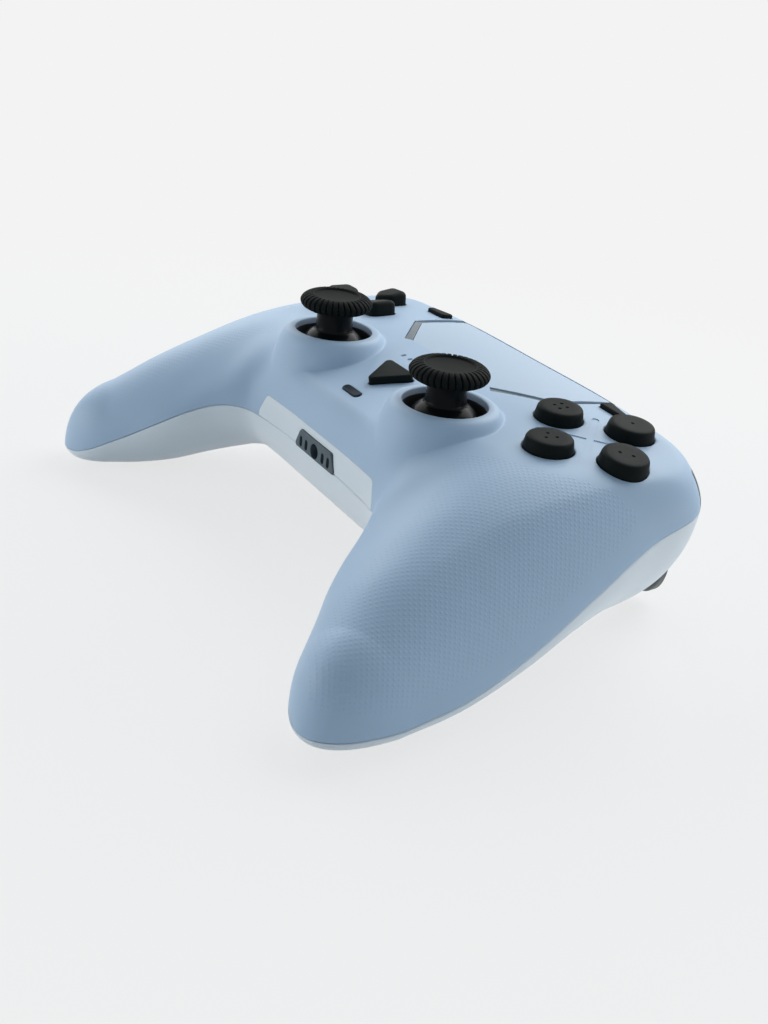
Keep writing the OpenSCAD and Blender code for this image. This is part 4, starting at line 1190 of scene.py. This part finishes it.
@dataclass
class Controls:
    """Face buttons, direction keys and the small buttons."""

    loft: BodyLoft
    gap: float = 0.2
    seat: float = 2.95
    face_seat: float = 4.95
    key_seat: float = 3.7
    mute_seat: float = 3.95
    group_x: float = 50.5
    group_y: float = 24.3
    face_ring: float = 11.8
    face_d: float = 11.5
    face_h: float = 2.9
    dpad_x: float = 53.5
    dpad_y: float = 23.4
    dpad_ring: float = 9.2
    dpad_w: float = 8.6
    dpad_l: float = 9.4
    dpad_h: float = 4.0
    home_w: float = 13.2
    home_l: float = 10.6
    home_h: float = 1.9
    home_y: float = 0.2
    mute_l: float = 7.2
    mute_w: float = 2.2
    mute_y: float = -8.8
    wedge_x: float = 38.9
    wedge_y: float = 41.5
    wedge_l: float = 8.0
    wedge_w: float = 3.8
    wedge_h: float = 1.1
    led_x: float = 6.4
    led_pitch: float = 3.1
    led_y: float = 11.3
    led_l: float = 1.56
    led_w: float = 1.06
    shank: float = -8.6

    def face_seats(self) -> list[tuple[str, Matrix]]:
        """Names and places of the face buttons."""
        return [(f"face_{word}", self.loft.seat(self.group_x + x, self.group_y + y))
                for word, x, y in self.crossed(("north", "east", "south", "west"), self.face_ring)]

    def key_seats(self) -> list[tuple[str, Matrix]]:
        """Names and places of the direction keys."""
        spots = self.crossed(("up", "right", "down", "left"), self.dpad_ring)
        return [(f"dpad_{word}", self.loft.seat(x - self.dpad_x, y + self.dpad_y, -90 * i))
                for i, (word, x, y) in enumerate(spots)]

    @staticmethod
    def crossed(words: tuple[str, ...], ring: float) -> list[tuple[str, float, float]]:
        """Places of four controls on a ring, clockwise from the far one."""
        return [(word, ring * x, ring * y) for word, (x, y) in zip(words, ((0, 1), (1, 0), (0, -1), (-1, 0)))]

    def home_place(self) -> Matrix:
        """Place of the home button."""
        return self.loft.seat(0, self.home_y)

    def mute_place(self) -> Matrix:
        """Place of the mute button."""
        return self.loft.seat(0, self.mute_y)

    def wedge_place(self, s: int) -> Matrix:
        """Place of a small button beside the pad."""
        return self.loft.seat(s * self.wedge_x, self.wedge_y)

    def mute_outline(self, grow: float) -> list[Point]:
        """Round-ended outline of the mute button."""
        return capsule_outline(self.mute_l + 2 * grow, self.mute_w + 2 * grow)

    def key_outline(self, grow: float) -> list[Point]:
        """Five-sided outline of a direction key."""
        w, l = self.dpad_w + 2 * grow, self.dpad_l + 2 * grow
        line = [(-w / 2, -l * .12), (0, -l / 2), (w / 2, -l * .12), (w / 2, l / 2), (-w / 2, l / 2)]
        return soft_outline(line, 2.3 + grow)

    def home_outline(self, grow: float) -> list[Point]:
        """Three-sided outline of the home button."""
        w, l = self.home_w / 2, self.home_l / 2
        return soft_outline([(0, -l - 1.9 * grow), (w + 1.6 * grow, l + grow), (-w - 1.6 * grow, l + grow)], 1.1, 6)

    def wedge_outline(self, grow: float, mirror: int) -> list[Point]:
        """Outline of the small buttons beside the pad.

        Args:
            grow: Distance outside the outline.
            mirror: -1 for the left button, 1 for the right one.

        Returns:
            The outline, counter-clockwise.
        """
        l, w = self.wedge_l / 2, self.wedge_w
        near = -w / 2 - grow
        line = [(-l - grow, near), (l + grow, near), (l + grow, w * .1 + grow), (-l - grow, w / 2 + grow)]
        if mirror < 0:
            line = [(-x, y) for x, y in line][::-1]
        return soft_outline(line, 0.6)

    def cutters(self) -> list[bpy.types.Object]:
        """Openings for all the controls.

        Returns:
            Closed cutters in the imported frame.
        """
        out = []
        r = self.face_d / 2 + self.gap
        line = [(0, -9), (r, -9), (r, -.35), (r + .12, -.12), (r + .4, .06), (r + .6, 6), (0, 6)]
        for _, seat in self.face_seats():
            hole = turned("hole", line, 72)
            hole.data.transform(seat)
            out.append(hole)
        out += [upright(self.key_outline(self.gap), -9, 6, seat) for _, seat in self.key_seats()]
        out.append(upright(self.home_outline(self.gap), -7, 6, self.home_place()))
        out.append(upright(self.mute_outline(self.gap), -8, 6, self.mute_place()))
        light = [(-y, x) for x, y in capsule_outline(self.led_l, self.led_w)]
        for s in (-1, 1):
            out.append(upright(self.wedge_outline(self.gap, s), -6.5, 6, self.wedge_place(s)))
            for x in (self.led_x, self.led_x + self.led_pitch):
                out.append(upright(light, -6, 4, self.loft.seat(s * x, self.led_y)))
        return out

    def face_button(self, name: str, seat: Matrix, pips: int) -> bpy.types.Object:
        """Round, slightly domed button with counting pips.

        Args:
            name: Piece name.
            seat: Its place.
            pips: How many small recesses mark it.

        Returns:
            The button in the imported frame.
        """
        r, h = self.face_d / 2, self.face_h
        low = self.face_seat
        side = [(r, -low + .1), (r, .3), (r - .1, .8), (r - .3, h - .95), (r - .42, h - .55), (r - .62, h - .27),
                (r - .95, h - .1)]
        top = [(r - 1.5, h - .03), (r - 2.4, h), (r * .3, h - .02), (0, h - .02)]
        base = [(0, self.shank), (r - 1, self.shank), (r - 1, -low - 1.2), (r + .9, -low - 1.2), (r + .9, -low),
                (r, -low)]
        obj = turned(name, base + side + smooth_line(top, 3), 96)
        marks = []
        for k in range(pips):
            a = math.radians(45 + 360 * k / pips)
            reach = 0.0 if pips == 1 else 1.5
            pip = turned("pip", [(0, h - .25), (.32, h - .25), (.42, h - .06), (.6, h + 1), (0, h + 1)], 20)
            pip.data.transform(at(reach * math.cos(a), reach * math.sin(a)))
            marks.append(pip)
        cut_all(obj, marks)
        obj.data.transform(seat)
        return obj

    def moulded(self, name: str, outline: Callable[[float], list[Point]], span: Point, edge: float,
                layers: list[tuple[list[Point], float, float]], seat: Matrix, fall: float = 0.0) -> bpy.types.Object:
        """Lofts and shades a button cap with a rounded top edge and the layers below it.

        Args:
            name: Piece name.
            outline: Outline of the cap for a growth in millimetres.
            span: Underside and top of the cap.
            edge: Rounding of the top edge in millimetres.
            layers: Outline, underside and top of each lower layer.
            seat: Its place.
            fall: Slope of the top towards its near end.

        Returns:
            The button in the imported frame.
        """
        turns = np.linspace(0, math.pi / 2, 8)
        levels = [(0.0, span[0])] + [(edge * (math.cos(a) - 1), span[1] - edge + edge * math.sin(a)) for a in turns]
        rings = np.array([[(x, y, z) for x, y in outline(grow)] for grow, z in levels])
        above = np.clip(rings[:, :, 2] / span[1], 0, 1)
        rings[:, :, 2] -= above * fall * (rings[0, :, 1].max() - rings[:, :, 1])
        cap = skinned(name, rings)
        tidy_mesh(cap)
        for layer in layers:
            combine(cap, prism("layer", *layer), Cut.ADD)
        cap.data.transform(seat)
        soften(cap, 40)
        return cap

    def build(self) -> None:
        """Builds, shades and dresses every button."""
        for i, (name, seat) in enumerate(self.face_seats()):
            obj = self.face_button(f"{name}_cap", seat, i + 1)
            soften(obj, 30)
            dress(obj, BUTTON_BLACK, name, name)
        low = self.key_seat
        layers = [(self.key_outline(.5), -low - 1.2, -low), (self.key_outline(-.9), self.shank, -low - .7)]
        for name, seat in self.key_seats():
            key = self.moulded(f"{name}_cap", lambda g: self.key_outline(g - .12), (-low - .6, self.dpad_h), 1.7,
                               layers, seat, 0.15)
            dress(key, BUTTON_BLACK, name, name)
        layers = [(self.home_outline(.7), -3.95, -self.seat), (self.home_outline(-.5), self.shank, -3.6)]
        home = self.moulded("home_button_cap", self.home_outline, (-3.5, self.home_h), 0.45, layers, self.home_place())
        dress(home, BUTTON_BLACK, "home_button", "home_button")
        low = self.mute_seat
        layers = [(self.mute_outline(.7), -low - 1, -low), (self.mute_outline(-.3), -7.6, -low)]
        mute = self.moulded("mute_button_cap", self.mute_outline, (-low - .5, .35), 0.3, layers, self.mute_place())
        dress(mute, MUTE_SMOKE, "mute_button", "mute_button")
        for s, name in ((-1, "share_button"), (1, "options_button")):
            layers = [(self.wedge_outline(.5, s), -3.75, -self.seat)]
            wedge = self.moulded(f"{name}_cap", lambda g, s=s: self.wedge_outline(g, s), (-3.4, self.wedge_h), 0.4,
                                 layers, self.wedge_place(s))
            dress(wedge, BUTTON_BLACK, name, name)


@dataclass
class TouchPad:
    """Touch pad with the slanted light strips at its sides."""

    loft: BodyLoft
    front_w: float = 36.0
    width: float = 64.0
    front: float = 19.0
    length: float = 27.6
    top: float = -2.2
    thick: float = 2.0
    strip_w: float = 2.4
    gap: float = 0.25

    def corners(self) -> list[Point]:
        """Front corner, bend and back corner of the pad's right side."""
        half = self.width / 2
        return [(self.front_w / 2, self.front), (half - 1, self.front + 11), (half, self.front + self.length)]

    def outer(self) -> list[Point]:
        """Outer edge of the right light strip."""
        a, b, c = self.corners()
        w = self.strip_w
        return [(a[0] + w * .86, a[1] - w * .5), (b[0] + w * .76, b[1] - w * .42), (c[0] + w * .72, c[1])]

    def cutter(self) -> bpy.types.Object:
        """Opening in the deck for the pad and its strips, in the layout frame."""
        half = [self.corners()[0], *self.outer()]
        line = [(-x, y) for x, y in half][::-1]
        return prism("pad_hole", half + line, -12, 8)

    def build(self, housing: Housing) -> None:
        """Builds, shades and dresses the pad, the dark strip before it that paints the shade in its gap, and its light
        strips.

        Args:
            housing: Gives the skin that the pad follows.
        """
        a, b, c = self.corners()
        g = self.gap
        half = [(a[0] - .8 * g, a[1] + .2), (b[0] - g, b[1] + .6 * g), (c[0] - g, c[1] - g)]
        line = half + [(-x, y) for x, y in half][::-1]
        pad = housing.lofted("touch_surface", True, 0.12)
        # Painted shade: a thin dark strip in the gap before the pad stands in for the shade inside that gap.
        gap_shade = copy_of(pad, "pad_gap_shade")
        gap_shade.data.transform(at(z=-0.15))
        room = housing.block((-a[0] + .6, a[1] + .01, self.top - 1.6), (a[0] - .6, a[1] + .17, 4))
        combine(gap_shade, room, Cut.KEEP_COMMON)
        dress(housing.in_place(gap_shade), MODULE, "housing")
        combine(pad, prism("pad_form", soft_outline(line, 0.8), self.top - self.thick, 6), Cut.KEEP_COMMON)
        pad.data.transform(self.loft.layout())
        soften(pad, 40)
        dress(pad, PAD_BLUE, "touchpad", "touchpad")
        low = self.top - self.thick
        sections = []
        for p, q in zip(self.corners(), self.outer()):
            u = (np.array(q) - np.array(p)) / np.linalg.norm(np.array(q) - np.array(p))
            d, e = np.array(p) + .05 * u, np.array(q) - .15 * u
            sections.append([(*d, low), (*d, self.loft.deck(*p) - .3), (*e, self.loft.deck(*q) - .1), (*e, low)])
        for side in Side:
            strip = skinned(f"light_strip_{side.word}", np.array(sections) * np.array([side.value, 1, 1]))
            tidy_mesh(strip)
            round_edges(strip, 0.15, 3, 30)
            strip.data.transform(self.loft.layout())
            soften(strip, 40)
            dress(strip, LENS, "housing", f"light_bar_{side.word}")


@dataclass
class Stick:
    """Thumb stick: dome, neck and knurled cap."""

    loft: BodyLoft
    side: Side
    spacing: float = 54.0
    pivot: float = -9.0
    dome_r: float = 10.2
    neck_r: float = 4.8
    shaft_r: float = 1.6
    cap_r: float = 9.4
    cap_t: float = 4.2
    lift: float = 5.1
    ribs: int = 36
    rib_deep: float = 0.6
    slant: float = 0.07
    inset: float = 0.012

    def place(self) -> Matrix:
        """Transform from the stick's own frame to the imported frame."""
        return self.loft.layout() @ at(self.spacing / 2 * self.side.value)

    def stem(self) -> bpy.types.Object:
        """Dome, neck and shaft, turned in one.

        Returns:
            The stem in the stick's own frame.
        """
        def ball(r: float, a: float) -> Point:
            """Point of the dome at an angle from the axis."""
            return r * math.sin(a), self.pivot + r * math.cos(a)

        inner, rim = self.dome_r - .9, math.radians(58)
        start, neck = math.asin(self.shaft_r / inner), math.asin(self.neck_r / self.dome_r)
        line = [(0, self.pivot - 3.6), (self.shaft_r, self.pivot - 3.6)]
        line += [ball(inner, a) for a in np.linspace(start, rim, 14)]
        line += [ball(self.dome_r, a) for a in np.linspace(rim, neck + .05, 26)]
        foot = ball(self.dome_r, neck)
        line += [(self.neck_r + .12, foot[1] + .1), (self.neck_r, foot[1] + .45)]
        top = self.lift + self.cap_t - 1.7
        line += [(self.neck_r - .1, self.lift - .6), (self.neck_r + .15, self.lift + .2), (self.neck_r, top), (0, top)]
        return turned(f"{self.side.word}_stick_dome", line, 96)

    def cap(self) -> bpy.types.Object:
        """Dished cap with slanted lugs round its rim.

        Returns:
            The cap in the stick's own frame.
        """
        r, low, top = self.cap_r, self.lift, self.lift + self.cap_t
        neck = self.neck_r
        line = [(neck + .05, low + .9), (neck + .2, low + .15), (neck + 1.2, low), (r - 1.8, low + .3),
                (r - .55, low + .95), (r, low + 1.95), (r - .18, low + 2.75), (r - .85, low + 3.5),
                (r - 1.8, top - .18), (r - 2.7, top), (r - 3.3, top - .08), (r - 3.6, top - .4), (r - 4, top - .58),
                (r * .3, top - .8), (0, top - .85)]
        bottom = [(0, top - 1.65), (neck + .05, top - 1.65)]
        obj = turned(f"{self.side.word}_stick_cap_rubber", bottom + smooth_line(line, 4), self.ribs * 10)
        mesh = obj.data
        co = np.zeros(len(mesh.vertices) * 3)
        mesh.vertices.foreach_get("co", co)
        co = co.reshape(-1, 3) / MM
        radius = np.hypot(co[:, 0], co[:, 1])
        angle = np.arctan2(co[:, 1], co[:, 0])
        hub, mid = r - 1.9, low + 2.1
        core = np.stack([hub * np.cos(angle), hub * np.sin(angle), np.full(len(co), mid)], axis=-1)
        phase = (angle * self.ribs / (2 * math.pi) + self.slant * (co[:, 2] - mid)) % 1.0
        dip = np.clip(1 - np.abs(phase - .5) / .19, 0, 1)
        dip = dip * dip * (3 - 2 * dip)
        rim = np.clip((radius - (r - 3.35)) / .7, 0, 1) * np.clip((co[:, 2] - low - .15) / .6, 0, 1)
        away = co - core
        away /= np.maximum(np.linalg.norm(away, axis=1, keepdims=True), 1e-6)
        co -= away * (self.rib_deep * dip * rim + self.inset)[:, None]
        mesh.vertices.foreach_set("co", (co * MM).ravel())
        mesh.update()
        return obj

    def build(self) -> None:
        """Builds, shades and dresses the stick."""
        word = self.side.word
        stem, cap = self.stem(), self.cap()
        for obj, angle in ((stem, 35), (cap, 40)):
            obj.data.transform(self.place())
            soften(obj, angle)
        dress(stem, DOME_GLOSS, f"{word}_stick", f"{word}_stick_stem")
        dress(cap, CAP_RUBBER, f"{word}_stick", f"{word}_stick_cap")


@dataclass
class Trigger:
    """Finger trigger on a hinge below the shoulder button."""

    loft: BodyLoft
    side: Side
    x: float = 49.3
    width: float = 23.6
    hinge_y: float = 39.0
    hinge_z: float = -21.0
    back: float = 49.6
    drop: float = 47.4
    cheek: float = 2.2
    crown: float = 4.5
    round_z: float = -24.0
    pin_r: float = 1.55

    def profile(self) -> list[Point]:
        """Side outline of the trigger.

        Returns:
            Depth and height pairs in the layout frame.
        """
        h, b, d = self.hinge_y, self.back, self.drop
        return [(h + 6.4, -15.2), (b - 1.8, -16.4), (b + .8, -20), (b + 2, -26), (b + 2.7, -33), (b + 3.9, -40),
                (b + 5.9, -d + .8), (b + 5, -d), (b + 2.6, -d + .4), (b + .6, -41.5), (b - .8, -34.6), (b - 4.5, -29.6),
                (h - 1.5, -25), (h - 3.2, -21.6), (h - 2.4, -18)]

    def rounded(self, q: float, y: float, z: float) -> Point:
        """Point of the outline, drawn in towards the ends of the finger face.

        Args:
            q: Share of the half width.
            y: Depth of the middle outline.
            z: Height of the middle outline.

        Returns:
            Depth and height at that share.
        """
        share = max(1 - abs(q) ** 1.6, 0.035) ** 0.625
        rear = min(1.0, max(0.0, (y - self.hinge_y - 3) / 3))
        if z < self.round_z:
            y += (1 - share) * (self.back + 1.6 - y) * rear
            z += (1 - share) * (self.round_z - z) * rear
        return y - self.crown * q * q * rear - 0.05, z

    def build(self) -> None:
        """Builds, shades and dresses the trigger."""
        line = smooth_line(self.profile(), 5, closed=True)
        qs = np.sin(np.linspace(-math.pi / 2, math.pi / 2, 49))
        sections = [[(q * self.width / 2, *self.rounded(q, y, z)) for y, z in line] for q in qs]
        obj = skinned(f"{self.side.word}_trigger_skin", np.array(sections))
        tidy_mesh(obj)
        round_edges(obj, 0.5, 4, 60)
        h = self.hinge_y
        hollow = [(h + 5, -17.6), (h + 6.4, -20), (h + 6.4, -24.4), (h + 5.2, -27.9), (h - 6, -26), (h - 6, -17.6)]
        inner = prism("hollow", hollow[::-1], 0, self.width - 2 * self.cheek)
        turn = Matrix(((0, 0, 1, 0), (1, 0, 0, 0), (0, 1, 0, 0), (0, 0, 0, 1)))
        inner.data.transform(at(self.cheek - self.width / 2) @ turn)
        combine(obj, inner, Cut.REMOVE)
        pin = turned("pin", [(0, -30), (self.pin_r, -30), (self.pin_r, 30), (0, 30)], 40)
        pin.data.transform(at(0, h, self.hinge_z) @ Matrix.Rotation(math.pi / 2, 4, "Y"))
        combine(obj, pin, Cut.REMOVE)
        obj.data.transform(self.loft.layout() @ at(self.x * self.side.value))
        soften(obj, 40)
        word = f"{self.side.word}_trigger"
        dress(obj, SHOULDER, word, word)


@dataclass
class InnerPieces:
    """CAD nodes that keep their own shape and only get a finish."""

    finishes: dict[str, Finish] = field(default_factory=lambda: {
        "audio_jack": BUTTON_BLACK, "indicator_lights": LED_SMOKE, "main_board": BOARD, "battery": CELL,
        "usb_socket": STEEL, "dpad_membrane": MEMBRANE, "face_membrane": MEMBRANE, "case_screws": STEEL})
    paired: dict[str, Finish] = field(default_factory=lambda: {
        "stick_base": MODULE, "stick_yoke": MODULE, "stick_pivot": MODULE, "trigger_bracket": STEEL,
        "trigger_pin": STEEL, "motor": STEEL, "motor_weight": STEEL})

    def build(self) -> None:
        """Puts a finish on each kept node."""
        for side in Side:
            for name, finish in self.paired.items():
                finish.put_on(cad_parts[f"{side.word}_{name}"])
        for name, finish in self.finishes.items():
            finish.put_on(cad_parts[name])
        log.info("inner pieces: %d nodes", len(self.finishes) + 2 * len(self.paired))


@dataclass
class Studio:
    """Camera, floor and soft lights."""

    loft: BodyLoft
    azimuth: float = 56.4
    elevation: float = 25.4
    roll: float = 7.2
    lens: float = 42.86
    eye: tuple[float, float, float] = (240.8, -155.0, 95.6)
    backdrop: float = 0.896
    surround: Colour = (0.68, 0.86, 1.0)
    surround_level: float = 0.24
    paper: Colour = (0.95, 0.96, 0.97)

    def camera(self) -> None:
        """Sets the camera at the photograph's place."""
        az, el, roll = (math.radians(v) for v in (self.azimuth, self.elevation, self.roll))
        back = Vector((math.sin(az) * math.cos(el), -math.cos(az) * math.cos(el), math.sin(el)))
        right = (-back).cross(Vector((0, 0, 1))).normalized()
        up = right.cross(-back)
        x = right * math.cos(roll) + up * math.sin(roll)
        y = up * math.cos(roll) - right * math.sin(roll)
        data = bpy.data.cameras.new("photo_camera")
        data.lens, data.sensor_width, data.clip_start = self.lens, 36.0, 0.01
        obj = bpy.data.objects.new("photo_camera", data)
        bpy.context.scene.collection.objects.link(obj)
        spot = (Vector(self.eye) + self.loft.shift) * MM
        obj.matrix_world = Matrix.Translation(spot) @ Matrix((x, y, back)).transposed().to_4x4()
        bpy.context.scene.camera = obj

    @staticmethod
    def seen_rays(tree: bpy.types.NodeTree) -> bpy.types.NodeSocket:
        """Adds the nodes that tell rays which show the background from rays which light the object.

        Args:
            tree: Node tree of the floor or the world.

        Returns:
            A socket that is 1 for camera, glossy and transmission rays.
        """
        path, both, every = (tree.nodes.new(k) for k in ("ShaderNodeLightPath", "ShaderNodeMath", "ShaderNodeMath"))
        both.operation = every.operation = "MAXIMUM"
        tree.links.new(path.outputs["Is Camera Ray"], both.inputs[0])
        tree.links.new(path.outputs["Is Glossy Ray"], both.inputs[1])
        tree.links.new(both.outputs[0], every.inputs[0])
        tree.links.new(path.outputs["Is Transmission Ray"], every.inputs[1])
        return every.outputs[0]

    def floor(self) -> None:
        """Lays a wide pale floor that shows the object's shadow softly."""
        clear_selection()
        bpy.ops.mesh.primitive_circle_add(vertices=96, radius=9.0, fill_type="NGON", location=(0, 0, -0.0002))
        obj = bpy.context.object
        obj.name = "studio_floor"
        mat = bpy.data.materials.new("studio_floor_paper")
        mat.use_nodes = True
        tree = mat.node_tree
        shader, out = tree.nodes["Principled BSDF"], tree.nodes["Material Output"]
        shader.inputs["Base Color"].default_value = (*self.paper, 1)
        shader.inputs["Roughness"].default_value = 0.9
        shader.inputs["Specular IOR Level"].default_value = 0.1
        glow, mix = tree.nodes.new("ShaderNodeEmission"), tree.nodes.new("ShaderNodeMixShader")
        glow.inputs["Color"].default_value = (self.backdrop, self.backdrop, self.backdrop, 1)
        share = tree.nodes.new("ShaderNodeMath")
        share.operation = "MULTIPLY"
        place, reach = tree.nodes.new("ShaderNodeTexCoord"), tree.nodes.new("ShaderNodeVectorMath")
        fade = tree.nodes.new("ShaderNodeMapRange")
        reach.operation = "LENGTH"
        for label, value in (("From Min", 0.1), ("From Max", 0.32), ("To Min", 0.8), ("To Max", 1.0)):
            fade.inputs[label].default_value = value
        tree.links.new(place.outputs["Object"], reach.inputs[0])
        tree.links.new(reach.outputs["Value"], fade.inputs["Value"])
        tree.links.new(fade.outputs["Result"], share.inputs[1])
        tree.links.new(self.seen_rays(tree), share.inputs[0])
        tree.links.new(share.outputs[0], mix.inputs[0])
        tree.links.new(shader.outputs[0], mix.inputs[1])
        tree.links.new(glow.outputs[0], mix.inputs[2])
        tree.links.new(mix.outputs[0], out.inputs["Surface"])
        obj.data.materials.append(mat)

    def world(self) -> None:
        """Sets a pale surrounding light and the plain backdrop that the camera sees."""
        world = bpy.data.worlds.new("studio_world")
        world.use_nodes = True
        tree = world.node_tree
        light, out = tree.nodes["Background"], tree.nodes["World Output"]
        light.inputs["Color"].default_value = (*self.surround, 1)
        light.inputs["Strength"].default_value = self.surround_level
        seen, mix = tree.nodes.new("ShaderNodeBackground"), tree.nodes.new("ShaderNodeMixShader")
        seen.inputs["Color"].default_value = (self.backdrop, self.backdrop, self.backdrop, 1)
        tree.links.new(self.seen_rays(tree), mix.inputs[0])
        tree.links.new(light.outputs[0], mix.inputs[1])
        tree.links.new(seen.outputs[0], mix.inputs[2])
        tree.links.new(mix.outputs[0], out.inputs["Surface"])
        bpy.context.scene.world = world

    def lamp(self, name: str, spot: tuple[float, float, float], size: float, watts: float) -> None:
        """Adds a square soft light that faces the controller.

        Args:
            name: Lamp name.
            spot: Place in metres.
            size: Side length in metres.
            watts: Power.
        """
        data = bpy.data.lights.new(name, "AREA")
        data.shape, data.size, data.energy = "SQUARE", size, watts
        obj = bpy.data.objects.new(name, data)
        bpy.context.scene.collection.objects.link(obj)
        obj.location = spot
        obj.rotation_euler = (Vector((0, 0, 0.02)) - Vector(spot)).to_track_quat("-Z", "Y").to_euler()

    def build(self) -> None:
        """Sets up the whole studio."""
        bpy.context.scene.view_settings.view_transform = "Standard"
        self.camera()
        self.floor()
        self.world()
        self.lamp("back_softbox", (-0.2, 0.62, 0.62), 0.7, 5.6)
        self.lamp("left_softbox", (-0.7, 0.0, 0.45), 0.6, 2.0)
        self.lamp("right_softbox", (0.5, 0.6, 0.1), 0.4, 1.2)
        self.lamp("front_softbox", (-0.35, -0.65, 0.04), 0.5, 2.2)


def main() -> None:
    """Builds the whole dressed controller."""
    logging.basicConfig(level=logging.INFO, format="%(name)s: %(message)s")
    low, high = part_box("right_stick_stem")
    shift = Vector((0.0, (low.y + high.y) / 2 / MM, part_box("top_shell")[1].z / MM))
    loft = BodyLoft(shift)
    Studio(loft).build()
    controls, pad = Controls(loft), TouchPad(loft)
    housing = Housing(loft)
    housing.build(controls, pad)
    GripTexture(loft).build()
    controls.build()
    pad.build(housing)
    for side in Side:
        Stick(loft, side).build()
        Trigger(loft, side).build()
    InnerPieces().build()


if __name__ == "__main__":
    main()
